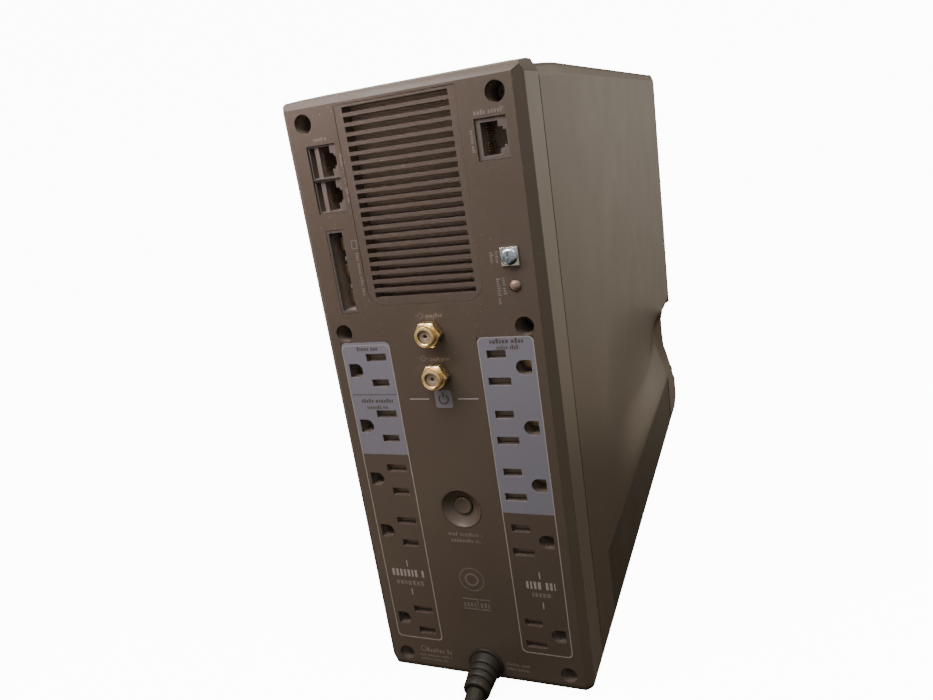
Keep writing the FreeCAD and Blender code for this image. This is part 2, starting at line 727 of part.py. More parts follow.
def front_bezel():
    """Glossy front panel with the display window and three keys."""
    whole = common("front_form", [
        form,
        block("front_reach", ("-body_width", "body_width"), ("front_face - 1", "front_face + front_depth"),
              ("notch_top - 4", "body_height + 1")),
    ])
    room = common("front_room", [
        hollow,
        block("front_hollow_reach", ("-body_width", "body_width"),
              ("front_face + 3.2", "front_face + front_depth + 1"), (0, "body_height + 1")),
    ])
    (x, z) = LENS
    tools = [room, block("lens_way", (x[0] - 0.15, x[1] + 0.15), ("front_face - 1", "front_face + 8"),
                         (z[0] - 0.15, z[1] + 0.15))]
    for name, (cx, cz, half_width, half_height) in BUTTONS.items():
        tools.append(key_shape(name + "_way", cx, cz, half_width, half_height,
                               ("front_face - 1", "front_face + 8"), 0.3))
    return sub_part("front_bezel", cut("front_bezel", whole, tools))


def front_controls():
    x, z = LENS
    sub_part("display_window", common("display_window", [
        form, block("lens_blank", x, ("front_face - 1", "front_face + 3.2"), z)]))
    sub_part("display_module", block("display_module", (x[0] + 1, x[1] - 1),
                                     ("front_face + 3.6", "front_face + 9"), (z[0] + 1, z[1] - 1)))
    for name, (cx, cz, half_width, half_height) in BUTTONS.items():
        cap = key_shape(name + "_cap", cx, cz, half_width, half_height,
                        ("front_face - 1", "front_face + 4.5"), 0)
        stem = rod(name + "_stem", "y", 2.2, (cx, "front_face + 4", cz), 4.5)
        face = common(name + "_face", [form, cap])
        sub_part(name, fuse(name, [face, stem]))
    board = block("front_board_blank", (-42, 42), ("front_face + 10.6", "front_face + 12.2"), (150, 236))
    switches = [block(name + "_switch", (cx - 3, cx + 3), ("front_face + 10.1", "front_face + 11"),
                      (cz - 3, cz + 3)) for name, (cx, cz, _, _) in BUTTONS.items()]
    sub_part("front_board", fuse("front_board", [board] + switches))


# ---------------------------------------------------------------- inside
BAY_BACK = "rear_face - 175"


def inner_frame():
    """Bay wall behind the batteries and the shelf above them."""
    wall = block("bay_wall", (-50, 50), (BAY_BACK, f"{BAY_BACK} + 3"), ("base_level + wall_depth", 163))
    shelf = block("bay_shelf", (-50, 50), ("front_face + 70", "rear_face - 46"), (160, 163))
    return sub_part("inner_frame", fuse("inner_frame", [wall, shelf]))


def batteries():
    """Two sealed blocks side by side on the cover's base plate."""
    for tag, shift in (("front", 2), ("rear", 1)):
        low = f"{BAY_BACK} - {shift} * (battery_depth + 0.8)"
        body = block(f"battery_{tag}_case", ("-battery_width / 2", "battery_width / 2"),
                     (low, f"{low} + battery_depth"), (5.1, "5.1 + battery_height - 3"))
        lid = block(f"battery_{tag}_lid", ("-battery_width / 2 + 1.5", "battery_width / 2 - 1.5"),
                    (f"{low} + 1.5", f"{low} + battery_depth - 1.5"),
                    ("5.1 + battery_height - 4", "5.1 + battery_height"))
        sub_part(f"battery_{tag}", fuse(f"battery_{tag}", [body, lid]))


CORE_LOW = "rear_face - 164"


def transformer():
    """Laminated core of three legs with one winding around the middle leg."""
    base = "base_level + wall_depth"
    leg = "core_depth / 6"
    core = block("core_blank", ("-core_stack / 2", "core_stack / 2"),
                 (CORE_LOW, f"{CORE_LOW} + core_depth"), (base, f"{base} + core_height"))
    windows = []
    for number, start in enumerate((1, 4)):
        windows.append(block(f"core_window_{number}", ("-core_stack", "core_stack"),
                             (f"{CORE_LOW} + {start} * {leg}", f"{CORE_LOW} + {start + 1} * {leg}"),
                             (f"{base} + {leg}", f"{base} + core_height - {leg}")))
    sub_part("transformer_core", cut("transformer_core", core, windows))
    coil = block("winding_blank", ("-core_stack / 2 - 14", "core_stack / 2 + 14"),
                 (f"{CORE_LOW} + {leg} + 1", f"{CORE_LOW} + 5 * {leg} - 1"),
                 (f"{base} + {leg} + 1", f"{base} + core_height - {leg} - 1"))
    heart = block("winding_heart", ("-core_stack / 2 - 0.3", "core_stack / 2 + 0.3"),
                  (f"{CORE_LOW} + 2 * {leg} - 0.3", f"{CORE_LOW} + 4 * {leg} + 0.3"),
                  (base, f"{base} + core_height"))
    sub_part("transformer_winding", cut("transformer_winding", coil, [heart]))


def electronics():
    """Main board on the shelf with its heat sinks, capacitors, relays and buzzer."""
    board = ("44.6", "46.2")
    face = 44.6
    sub_part("main_board", block("main_board", board, ("rear_face - 290", "rear_face - 58"), (163, 282)))
    sinks = []
    for number, start in enumerate((-90, -40)):
        back = block(f"sink_back_{number}", (face - 3, face), (start, start + 42), (170, 262))
        fins = [block(f"sink_fin_{number}_{fin}", (face - 27, face - 2.9),
                      (start + 7 * fin, start + 7 * fin + 1.6), (170, 262)) for fin in range(6)]
        sinks.append(fuse(f"sink_{number}", [back] + fins))
    sub_part("heat_sinks", group("heat_sinks", sinks))
    cans = []
    for number in range(6):
        y = 24 + 26 * (number % 3)
        z = 190 + 34 * (number // 3)
        cans.append(rod(f"capacitor_{number}", "x", 10.5, (face - 34, y, z), 34))
    sub_part("capacitors", group("capacitors", cans))
    relays = [block(f"relay_{number}", (face - 20, face), (20 + 28 * number, 42 + 28 * number), (244, 262))
              for number in range(3)]
    sub_part("relays", group("relays", relays))
    sub_part("buzzer", rod("buzzer", "x", 7, (face - 9, 112, 178), 9))


def fan():
    """Square fan frame with its hub pin, and the seven-bladed rotor."""
    front = "rear_face - fan_setback"
    across = ("-fan_half", "fan_half")
    frame = block("fan_block", across, (front, f"{front} + fan_depth"),
                  ("fan_level - fan_half", "fan_level + fan_half"))
    tunnel = rod("fan_tunnel", "y", 28.4, (0, f"{front} - 5", "fan_level"), 30)
    hub = rod("fan_hub", "y", 12, (0, front, "fan_level"), 2)
    pin = rod("fan_pin", "y", 1.5, (0, front, "fan_level"), "fan_depth - 2.5")
    spokes = []
    for tag, half_width, half_height in (("a", 29, 1.5), ("b", 1.5, 29)):
        spokes.append(block(f"fan_spoke_{tag}", (-half_width, half_width), (front, f"{front} + 2"),
                            (f"fan_level - {half_height}", f"fan_level + {half_height}")))
    ring = cut("fan_ring", frame, [tunnel])
    sub_part("fan_frame", fuse("fan_frame", [ring, hub, pin] + spokes))
    drum = rod("rotor_drum", "y", 12, (0, f"{front} + 2.8", "fan_level"), "fan_depth - 3.6")
    blades = []
    for number in range(FAN_BLADES):
        blade = doc.addObject("Part::Box", f"rotor_blade_{number}")
        blade.Length, blade.Width, blade.Height = 13, 1.4, 17
        pitch = FreeCAD.Rotation(FreeCAD.Vector(0, 0, 1), 40)
        inward = FreeCAD.Placement(FreeCAD.Vector(0, 0, 10), pitch)
        centred = FreeCAD.Placement(FreeCAD.Vector(-6.5, -0.7, 0), FreeCAD.Rotation())
        spin = FreeCAD.Rotation(FreeCAD.Vector(0, 1, 0), 360 / FAN_BLADES * number)
        middle = FreeCAD.Vector(0, cell("rear_face") - cell("fan_setback") + 8.6, cell("fan_level"))
        blade.Placement = FreeCAD.Placement(middle, spin) * inward * centred
        blades.append(blade)
    bore = rod("rotor_bore", "y", 1.55, (0, f"{front} - 5", "fan_level"), 30)
    blank = fuse("rotor_blank", [drum] + blades)
    sub_part("fan_rotor", cut("fan_rotor", blank, [bore]))


# ---------------------------------------------------------------- mains lead
LEAD_ROUTE = [
    (-1.0, 204.0, 9.8), (-1.0, 224.5, 4.75), (-9.0, 258.0, 4.7), (-25.0, 293.2, 4.7),
    (-45.0, 326.0, 4.7),
]
TAIL_ROUTE = [(50.2, 333.9, 17.6), (51.4, 316.0, 14.8), (52.0, 298.0, 12.5)]


def corner_arc(before, corner, after):
    """Directions back and ahead at a route point, and half the turn between them."""
    back = (before - corner).normalize()
    ahead = (after - corner).normalize()
    half_turn = (math.pi - back.getAngle(ahead)) / 2
    return back, ahead, half_turn


def tube(label, route):
    """Straight runs joined by tangent arcs, with a round section along them."""
    points = [FreeCAD.Vector(*point) for point in route]
    edges = []
    start = points[0]
    for index in range(1, len(points) - 1):
        corner = points[index]
        shorter = min((corner - points[index - 1]).Length, (points[index + 1] - corner).Length)
        back, ahead, half_turn = corner_arc(points[index - 1], corner, points[index + 1])
        radius = 0.45 * shorter / math.tan(half_turn)
        print(f"{label} arc {index}: radius {radius:.1f} mm")
        enter = corner + back * (0.45 * shorter)
        leave = corner + ahead * (0.45 * shorter)
        towards = (back + ahead).normalize()
        middle = corner + towards * (radius / math.cos(half_turn) - radius)
        edges.append(Part.LineSegment(start, enter).toShape())
        edges.append(Part.Arc(enter, middle, leave).toShape())
        start = leave
    edges.append(Part.LineSegment(start, points[-1]).toShape())
    path = Part.Wire(edges)
    radius = cell("lead_diameter") / 2
    section = Part.Wire(Part.Circle(points[0], points[1] - points[0], radius).toShape())
    lead = doc.addObject("Part::Feature", label)
    lead.Shape = path.makePipeShell([section], True, True)
    expected = math.pi * radius ** 2 * path.Length
    print(f"{label} length {path.Length:.1f} mm, volume ratio {lead.Shape.Volume / expected:.4f}")
    return sub_part(label, lead)


def mains_lead():
    """Ribbed strain relief, free lead, its coil, and the three-pin plug."""
    seat = ("cord_x", "rear_face - 8", "cord_level")
    neck = rod("relief_neck", "y", 7, seat, 9)
    flange = rod("relief_flange", "y", 9.6, ("cord_x", "rear_face", "cord_level"), 1.2)
    droop = math.degrees(math.atan2(cell("relief_drop"), cell("relief_reach")))
    lean = FreeCAD.Rotation(FreeCAD.Vector(1, 0, 0), -90 - droop)
    length = "sqrt(relief_reach * relief_reach + relief_drop * relief_drop)"
    boot = taper("relief_boot", "y", (7.8, 6.7), ("cord_x", "rear_face", "cord_level"), length)
    boot.Placement.Rotation = lean
    boot = common("relief_boot_front", [
        boot, block("relief_front", (-20, 20), ("rear_face", "rear_face + 40"), (0, 30))])
    root = common("relief_root", [
        rod("relief_root_blank", "y", 9, ("cord_x", "rear_face", "cord_level"), 6),
        ball("relief_root_ball", 7.8, ("cord_x", "rear_face", "cord_level"))])
    grooves = []
    for share in (0.3, 0.52, 0.74):
        start = ("cord_x", f"rear_face + {share} * relief_reach", f"cord_level - {share} * relief_drop")
        ring = rod(f"relief_ring_{share}", "y", 12, start, 0.8)
        heart = rod(f"relief_heart_{share}", "y", 6.2, start, 0.8)
        ring.Placement.Rotation = heart.Placement.Rotation = lean
        grooves.append(cut(f"relief_groove_{share}", ring, [heart]))
    blank = fuse("relief_blank", [neck, flange, boot, root])
    sub_part("strain_relief", cut("strain_relief", blank, grooves))
    tube("power_cord", LEAD_ROUTE)
    tube("plug_lead", TAIL_ROUTE)
    coil = doc.addObject("Part::Torus", "cord_coil")
    bind(coil, "Radius1", "coil_radius")
    bind(coil, "Radius2", "coil_section_radius")
    place(coil, "z", (0, "coil_centre_y", "coil_section_radius"))
    sub_part("cord_coil", coil)
    grip = [(39, 256), (65, 256), (65, 285), (58, 298), (46, 298), (39, 285)]
    body = padded("plug_blank", "XY_Plane", grip, 24, midplane=False, rounded=[("4", [0, 1, 2, 5])])
    body.Placement.Base.z = 0.5
    sub_part("plug_body", body)
    blades = [block("plug_blade_left", (44.9, 46.5), (239, 256), (9.3, 15.7)),
              block("plug_blade_right", (57.5, 59.1), (239, 256), (9.3, 15.7)),
              rod("plug_pin", "y", 2.4, (52, 236, 20.4), 20)]
    sub_part("plug_blades", group("plug_blades", blades))


# ---------------------------------------------------------------- build
main_shell()
battery_cover()
rubber_feet()
rear_bezel()
vent_grille()
case_screws()
for side_name, side_sign in (("left", 1), ("right", -1)):
    outlet_strip(f"outlet_strip_{side_name}", side_sign)
    outlet_contacts(f"outlet_contacts_{side_name}", side_sign)
    outlet_shutters(f"outlet_shutters_{side_name}", side_sign)
    label_plate(f"label_plate_{side_name}", side_sign)
for jack_name, (jack_x, jack_z, jack_mouth, jack_contact) in JACKS.items():
    modular_jack(jack_name, jack_x, jack_z, jack_mouth, jack_contact)
jack_contacts()
battery_port()
cores = [coax_connector("in", "coax_in_level"), coax_connector("out", "coax_out_level")]
sub_part("coax_cores", group("coax_cores", cores))
ground_terminal()
fault_light()
breaker()
front_bezel()
front_controls()
inner_frame()
batteries()
transformer()
electronics()
fan()
mains_lead()
doc.recompute()

failed = [thing.Label for thing in doc.Objects
          if any(word in state for state in thing.State for word in ("Invalid", "Error"))]
empty = [thing.Label for thing in SUB_PARTS
         if thing.Shape.isNull() or not thing.Shape.isValid() or thing.Shape.Volume <= 0]
if failed or empty:
    raise SystemExit(f"failed: {failed}; empty or not valid: {empty}")

os.makedirs("parts", exist_ok=True)
for thing in SUB_PARTS:
    thing.Shape.exportStep(os.path.join("parts", thing.Label + ".step"))
print(f"{len(SUB_PARTS)} parts written")
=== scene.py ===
"""Looks of the tower power supply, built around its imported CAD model. Metres, +Z up, rear panel at +Y."""

import json
import math
import random

import bmesh
import bpy
from mathutils import Matrix, Vector

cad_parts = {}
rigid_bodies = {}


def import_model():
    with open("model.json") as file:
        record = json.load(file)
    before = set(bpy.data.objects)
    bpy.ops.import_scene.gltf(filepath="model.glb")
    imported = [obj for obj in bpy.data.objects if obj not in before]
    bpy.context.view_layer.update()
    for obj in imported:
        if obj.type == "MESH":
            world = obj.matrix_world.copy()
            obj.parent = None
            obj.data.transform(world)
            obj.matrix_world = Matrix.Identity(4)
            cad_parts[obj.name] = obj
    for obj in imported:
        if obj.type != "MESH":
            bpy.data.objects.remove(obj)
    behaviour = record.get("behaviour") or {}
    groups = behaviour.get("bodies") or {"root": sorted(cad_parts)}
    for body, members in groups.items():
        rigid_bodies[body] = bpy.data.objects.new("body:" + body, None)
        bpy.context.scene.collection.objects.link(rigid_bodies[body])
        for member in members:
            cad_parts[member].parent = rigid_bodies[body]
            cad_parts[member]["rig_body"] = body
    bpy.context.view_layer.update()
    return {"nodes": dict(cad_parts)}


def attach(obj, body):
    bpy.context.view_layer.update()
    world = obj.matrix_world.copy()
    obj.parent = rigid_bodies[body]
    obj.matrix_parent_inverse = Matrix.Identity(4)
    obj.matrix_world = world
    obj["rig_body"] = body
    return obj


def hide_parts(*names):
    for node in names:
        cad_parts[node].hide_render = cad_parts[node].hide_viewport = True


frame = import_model()
NODES = frame["nodes"]
ROOT = "unit"
MM = 0.001

# Driving sizes of the casing in millimetres, as the CAD model has them
REAR = 187.0
FRONT = -195.0
HALF_WIDTH = 56.0
HEIGHT = 301.0
BASE = 2.2
WALL = 2.5
SEAM = REAR - 25.0
NOTCH_TOP = 104.0
NOTCH_BACK = -147.0
NOTCH_LOW = NOTCH_TOP - 26.0


# ---------------------------------------------------------------- mesh helpers
def new_object(name, data):
    thing = bpy.data.objects.new(name, data)
    bpy.context.scene.collection.objects.link(thing)
    return thing


def from_bmesh(name, bm):
    """Turn a bmesh in millimetres into an object in metres."""
    bmesh.ops.recalc_face_normals(bm, faces=bm.faces)
    mesh = bpy.data.meshes.new(name)
    bm.to_mesh(mesh)
    bm.free()
    mesh.transform(Matrix.Scale(MM, 4))
    return new_object(name, mesh)


def apply_modifiers(thing):
    graph = bpy.context.evaluated_depsgraph_get()
    final = bpy.data.meshes.new_from_object(thing.evaluated_get(graph))
    thing.modifiers.clear()
    thing.data = final
    return thing


def shade(thing, degrees=35):
    """Smooth shading that keeps edges sharper than the angle."""
    for face in thing.data.polygons:
        face.use_smooth = True
    thing.data.set_sharp_from_angle(angle=math.radians(degrees))
    return thing


def keep_flats_flat(thing):
    """Let large faces set the normals, so that rounded edges don't shade the flats beside them."""
    step = thing.modifiers.new("normals", "WEIGHTED_NORMAL")
    step.mode = "FACE_AREA"
    step.weight = 100
    step.keep_sharp = True
    return apply_modifiers(thing)


def boolean(thing, cutter, operation):
    step = thing.modifiers.new(operation.lower(), "BOOLEAN")
    step.operation = operation
    step.solver = "EXACT"
    step.object = cutter
    apply_modifiers(thing)
    bpy.data.objects.remove(cutter)
    return thing


def bevel(thing, width, degrees=35, segments=2, weighted=False):
    """Round the edges sharper than the angle, or with weighted, the ones that have a bevel weight."""
    step = thing.modifiers.new("edges", "BEVEL")
    step.width = width * MM
    step.segments = segments
    step.limit_method = "WEIGHT" if weighted else "ANGLE"
    step.angle_limit = math.radians(degrees)
    return apply_modifiers(thing)


def finish_piece(thing, material, body=ROOT, stands_for=(), sharp=35):
    """Give a new piece its material, body and the CAD nodes it stands for."""
    thing.data.materials.clear()
    thing.data.materials.append(material)
    if thing.type == "MESH":
        shade(thing, sharp)
        keep_flats_flat(thing)
    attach(thing, body)
    if stands_for:
        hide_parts(*stands_for)
    return thing


def refined(node, material, width=0.4, segments=2, degrees=35, merge=True, chosen=None):
    """Stand in for a CAD node with the same solid, its edges rounded and, with merge, its flat faces joined.

    chosen says of a point in millimetres whether it is on an edge to be rounded. Without it, all are.
    """
    source = NODES[node]
    mesh = source.data.copy()
    bm = bmesh.new()
    bm.from_mesh(mesh)
    bmesh.ops.remove_doubles(bm, verts=bm.verts, dist=2e-6)
    if merge:
        bmesh.ops.dissolve_limit(bm, angle_limit=math.radians(0.4), verts=bm.verts, edges=bm.edges)
    if chosen:
        weight = bm.edges.layers.float.new("bevel_weight_edge")
        for edge in bm.edges:
            if edge.calc_face_angle(0.0) > math.radians(degrees):
                edge[weight] = 1.0 if all(chosen(end.co / MM) for end in edge.verts) else 0.0
    bm.to_mesh(mesh)
    bm.free()
    mesh.materials.clear()
    thing = new_object(node + "_look", mesh)
    bevel(thing, width, degrees, segments, chosen is not None)
    return finish_piece(thing, material, source["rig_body"], [node])


def join_loops(bm, loops):
    """Quads between each closed loop of vertices and the next."""
    for near, far in zip(loops, loops[1:]):
        for index in range(len(near)):
            after = (index + 1) % len(near)
            bm.faces.new((near[index], near[after], far[after], far[index]))


def lathe(name, profile, centre, steps=64):
    """Turn (distance along +Y, radius) points about an axis through the centre."""
    bm = bmesh.new()
    rings = []
    for along, radius in profile:
        ring = []
        for step in range(steps):
            angle = 2 * math.pi * step / steps
            point = Vector((radius * math.cos(angle), along, radius * math.sin(angle)))
            ring.append(bm.verts.new(point + Vector(centre)))
        rings.append(ring)
    join_loops(bm, rings)
    for ring in (rings[0], rings[-1]):
        bm.faces.new(ring)
    return from_bmesh(name, bm)


def add_block(bm, x, y, z):
    """A box between low and high values on each axis, in a bmesh."""
    grid = [[[bm.verts.new((i, j, k)) for k in z] for j in y] for i in x]
    sides = [
        [(0, 0, 0), (0, 0, 1), (0, 1, 1), (0, 1, 0)], [(1, 0, 0), (1, 1, 0), (1, 1, 1), (1, 0, 1)],
        [(0, 0, 0), (1, 0, 0), (1, 0, 1), (0, 0, 1)], [(0, 1, 0), (0, 1, 1), (1, 1, 1), (1, 1, 0)],
        [(0, 0, 0), (0, 1, 0), (1, 1, 0), (1, 0, 0)], [(0, 0, 1), (1, 0, 1), (1, 1, 1), (0, 1, 1)],
    ]
    for side in sides:
        bm.faces.new([grid[i][j][k] for i, j, k in side])


def block(name, x, y, z):
    bm = bmesh.new()
    add_block(bm, x, y, z)
    return from_bmesh(name, bm)


def add_prism(bm, outline, plane, low, high):
    """Extrude a closed outline from low to high along the axis across its plane."""
    place = {
        "yz": lambda u, v, w: (w, u, v),
        "xz": lambda u, v, w: (u, w, v),
        "xy": lambda u, v, w: (u, v, w),
    }[plane]
    near = [bm.verts.new(place(u, v, low)) for u, v in outline]
    far = [bm.verts.new(place(u, v, high)) for u, v in outline]
    bm.faces.new(near)
    bm.faces.new(far[::-1])
    join_loops(bm, [near, far])


def prism(name, outline, plane, low, high):
    bm = bmesh.new()
    add_prism(bm, outline, plane, low, high)
    return from_bmesh(name, bm)


def rounded_outline(corners, steps=8):
    """Closed outline from (u, v, radius) corners, with round corners as arcs."""
    points = []
    count = len(corners)
    for index, (u, v, radius) in enumerate(corners):
        here = Vector((u, v))
        if radius <= 0:
            points.append((u, v))
            continue
        back = (Vector(corners[index - 1][:2]) - here).normalized()
        ahead = (Vector(corners[(index + 1) % count][:2]) - here).normalized()
        half = back.angle(ahead) / 2
        centre = here + (back + ahead).normalized() * (radius / math.sin(half))
        start = here + back * (radius / math.tan(half)) - centre
        end = here + ahead * (radius / math.tan(half)) - centre
        first = math.atan2(start.y, start.x)
        sweep = math.atan2(end.y, end.x) - first
        sweep = (sweep + math.pi) % (2 * math.pi) - math.pi
        for step in range(steps + 1):
            angle = first + sweep * step / steps
            points.append((centre.x + radius * math.cos(angle), centre.y + radius * math.sin(angle)))
    return points


def rounded_rectangle(low, high, radius, steps):
    """Outline of a rectangle between its low and high (u, v) corners, with round corners."""
    (left, bottom), (right, top) = low, high
    return rounded_outline([(left, bottom, radius), (right, bottom, radius), (right, top, radius),
                            (left, top, radius)], steps)


def smooth_step(value):
    value = min(max(value, 0.0), 1.0)
    return value * value * (3 - 2 * value)


# ---------------------------------------------------------------- materials
def start_material(name):
    material = bpy.data.materials.new(name)
    material.use_nodes = True
    tree = material.node_tree
    shader = tree.nodes["Principled BSDF"]
    where = tree.nodes.new("ShaderNodeTexCoord")
    return material, tree, shader, where.outputs["Object"]


def feed(tree, socket, value):
    """Link an input to another node's output, or set its value."""
    if isinstance(value, bpy.types.NodeSocket):
        tree.links.new(value, socket)
    else:
        socket.default_value = value


def feed_all(tree, node, **inputs):
    """Feed a node's inputs. An underscore in an input's name stands for a space."""
    for name, value in inputs.items():
        feed(tree, node.inputs[name.replace("_", " ")], value)
    return node


def add_node(tree, kind, **inputs):
    return feed_all(tree, tree.nodes.new("ShaderNode" + kind), **inputs)


def noise(tree, where, scale, detail=3.0, stretch=None):
    if stretch:
        where = add_node(tree, "Mapping", Vector=where, Scale=stretch).outputs["Vector"]
    texture = add_node(tree, "TexNoise", Vector=where, Scale=scale, Detail=detail, Roughness=0.55)
    return texture.outputs["Fac"]


def ramp(tree, factor, stops):
    """A colour ramp between (position, colour) stops."""
    node = tree.nodes.new("ShaderNodeValToRGB")
    while len(node.color_ramp.elements) < len(stops):
        node.color_ramp.elements.new(0.5)
    for element, (position, colour) in zip(node.color_ramp.elements, stops):
        element.position = position
        element.color = (*colour, 1.0)
    tree.links.new(factor, node.inputs["Fac"])
    return node.outputs["Color"]


def remap(tree, factor, low, high, start=0.3, end=0.7):
    node = add_node(tree, "MapRange", Value=factor, From_Min=start, From_Max=end, To_Min=low, To_Max=high)
    return node.outputs["Result"]


def bump(tree, height, strength, distance):
    return add_node(tree, "Bump", Height=height, Strength=strength, Distance=distance).outputs["Normal"]


def shades(colour, amount):
    """A darker and a lighter version of a colour."""
    dark = tuple(part * (1 - amount) for part in colour)
    light = tuple(min(part * (1 + amount), 1.0) for part in colour)
    return dark, light


def mix_in(tree, base, factor, colour):
    node = tree.nodes.new("ShaderNodeMix")
    node.data_type = "RGBA"
    tree.links.new(factor, node.inputs["Factor"])
    tree.links.new(base, node.inputs["A"])
    node.inputs["B"].default_value = (*colour, 1.0)
    return node.outputs["Result"]


def reckon(tree, operation, *values):
    node = tree.nodes.new("ShaderNodeMath")
    node.operation = operation
    for socket, value in zip(node.inputs, values):
        feed(tree, socket, value)
    return node.outputs["Value"]


def coordinate(tree, where, axis):
    return add_node(tree, "SeparateXYZ", Vector=where).outputs[axis]


def dust_specks(tree, where, amount):
    """Sparse fine specks, denser towards the top."""
    cells = add_node(tree, "TexVoronoi", Vector=where, Scale=420.0)
    specks = remap(tree, cells.outputs["Distance"], 1.0, 0.0, 0.05, 0.12)
    patches = remap(tree, noise(tree, where, 60.0, 3.0), 0.0, amount, 0.45, 0.62)
    higher = remap(tree, coordinate(tree, where, "Z"), 0.12, 1.0, 0.12, 0.28)
    return reckon(tree, "MULTIPLY", reckon(tree, "MULTIPLY", specks, patches), higher)


def moulded(name, colour, rough=0.45, grain=900.0, grain_height=0.00004, mottle=0.10, streak=0.0,
            dust=0.0, specular=0.5, depth_light=None, uneven=0.055):
    """Moulded plastic: spark-eroded grain, faint mottling and uneven gloss, with optional dust.

    The colour for the openings is painted light: a lighter tone that grows with depth inside the
    panel's openings to lift the shade there, with the depths in mm where it starts and where it is full.
    """
    material, tree, shader, where = start_material(name)
    dark, light = shades(colour, mottle)
    tone = ramp(tree, noise(tree, where, 14.0, 4.0), [(0.3, dark), (0.7, light)])
    if streak:
        along = noise(tree, where, 5.0, 3.0, stretch=(0.4, 0.35, 9.0))
        tone = mix_in(tree, tone, remap(tree, along, 0.0, streak, 0.45, 0.75), light)
    if dust:
        tone = mix_in(tree, tone, dust_specks(tree, where, dust), DUST)
    # Painted light: deeper inside the openings the tone turns lighter, to lift the shade there
    if depth_light:
        colour, start, full = depth_light
        depth = coordinate(tree, where, "Y")
        deep = remap(tree, depth, 1.0, 0.0, (REAR - full) * MM, (REAR - start) * MM)
        tone = mix_in(tree, tone, deep, colour)
    gloss = remap(tree, noise(tree, where, 32.0, 4.0), rough - uneven, rough + uneven)
    pits = bump(tree, noise(tree, where, grain, 2.0), 0.6, grain_height)
    feed_all(tree, shader, Base_Color=tone, Roughness=gloss, Normal=pits, Specular_IOR_Level=specular)
    return material


def metal(name, colour, rough=0.25, brushed=None, grain_height=0.00001):
    """Plated or bare metal with slight tone changes and fine working marks."""
    material, tree, shader, where = start_material(name)
    dark, light = shades(colour, 0.08)
    tone = ramp(tree, noise(tree, where, 60.0, 4.0), [(0.3, dark), (0.7, light)])
    marks = noise(tree, where, 700.0, 3.0, stretch=brushed)
    feed_all(tree, shader, Base_Color=tone, Roughness=remap(tree, marks, rough - 0.07, rough + 0.1),
             Normal=bump(tree, marks, 0.5, grain_height), Metallic=1.0)
    return material


def lens(name, colour, rough, transmission, ior=1.49):
    """Clear or tinted plastic with faint scuffs."""
    material, tree, shader, where = start_material(name)
    dark, light = shades(colour, 0.05)
    tone = ramp(tree, noise(tree, where, 30.0), [(0.3, dark), (0.7, light)])
    scuffs = noise(tree, where, 220.0, 5.0)
    feed_all(tree, shader, Base_Color=tone, Roughness=remap(tree, scuffs, rough, rough + 0.08, 0.5, 0.8),
             Normal=bump(tree, scuffs, 0.15, 0.00001), Transmission_Weight=transmission, IOR=ior)
    return material


def board_material(name):
    """Green solder mask over faint copper tracks."""
    material, tree, shader, where = start_material(name)
    brick = add_node(tree, "TexBrick", Vector=where, Scale=90.0, Mortar_Size=0.03,
                     Color1=(0.014, 0.085, 0.035, 1), Color2=(0.018, 0.1, 0.045, 1),
                     Mortar=(0.05, 0.2, 0.08, 1))
    blotches = noise(tree, where, 35.0)
    tone = mix_in(tree, brick.outputs["Color"], remap(tree, blotches, 0.0, 0.5), (0.012, 0.07, 0.03))
    feed_all(tree, shader, Base_Color=tone, Roughness=remap(tree, blotches, 0.25, 0.4),
             Normal=bump(tree, brick.outputs["Fac"], 0.3, 0.00003))
    return material


DUST = (0.46, 0.42, 0.37)
# Painted light for inside the openings: a lighter tone, and the depths in mm where it starts and where it is
# full
PAINTED_DEPTH_LIGHT = ((0.19, 0.155, 0.13), 0.4, 4.5)
SMOOTH = dict(rough=0.25, mottle=0.03, grain=2200.0, grain_height=0.000004, uneven=0.02)
MATT = dict(rough=0.46, mottle=0.06, specular=0.3)
SHELL = moulded("shell_plastic_look", (0.068, 0.054, 0.040), streak=0.04, specular=0.38, **SMOOTH)
# The shell's plastic in a lighter tone, for the rear bezel's outer walls and top: painted light
PAINTED_LIT_RIM = moulded("rim_painted_light_look", (0.088, 0.074, 0.058), specular=0.42, **SMOOTH)
BEZEL = moulded("bezel_plastic_look", (0.055, 0.044, 0.034), dust=0.4, **MATT)
LOUVRE = moulded("louvre_look", (0.057, 0.046, 0.037), dust=0.5, depth_light=PAINTED_DEPTH_LIGHT, **MATT)
STRIP = moulded("strip_plastic_look", (0.053, 0.042, 0.033), dust=0.3, depth_light=PAINTED_DEPTH_LIGHT, **MATT)
COVER = moulded("cover_plastic_look", (0.032, 0.026, 0.018), rough=0.42, mottle=0.06, specular=0.35)
GLOSS = moulded("front_gloss_look", (0.011, 0.011, 0.012), rough=0.12, grain=300.0, grain_height=0.000004)
KEY = moulded("key_plastic_look", (0.028, 0.028, 0.03), rough=0.35)
SOCKET = moulded("socket_plastic_look", (0.056, 0.049, 0.046), rough=0.5, specular=0.3)
JACK = moulded("jack_plastic_look", (0.056, 0.049, 0.046), rough=0.5, specular=0.3, depth_light=PAINTED_DEPTH_LIGHT)
LABEL = moulded("label_print_look", (0.112, 0.116, 0.145), rough=0.5, grain=1500.0, grain_height=0.00001,
                mottle=0.04, dust=0.1)
PRINT = moulded("print_look", (0.20, 0.19, 0.185), rough=0.5, mottle=0.05)
FAINT_PRINT = moulded("faint_print_look", (0.105, 0.092, 0.082), rough=0.5, mottle=0.12)
DARK_PRINT = moulded("dark_print_look", (0.040, 0.034, 0.034), rough=0.5, mottle=0.05)
GOLD = metal("gold_plate_look", (0.84, 0.66, 0.36), rough=0.27)
BRASS = metal("contact_brass_look", (0.45, 0.33, 0.18), rough=0.35)
STEEL = metal("plated_steel_look", (0.66, 0.68, 0.70), rough=0.26)
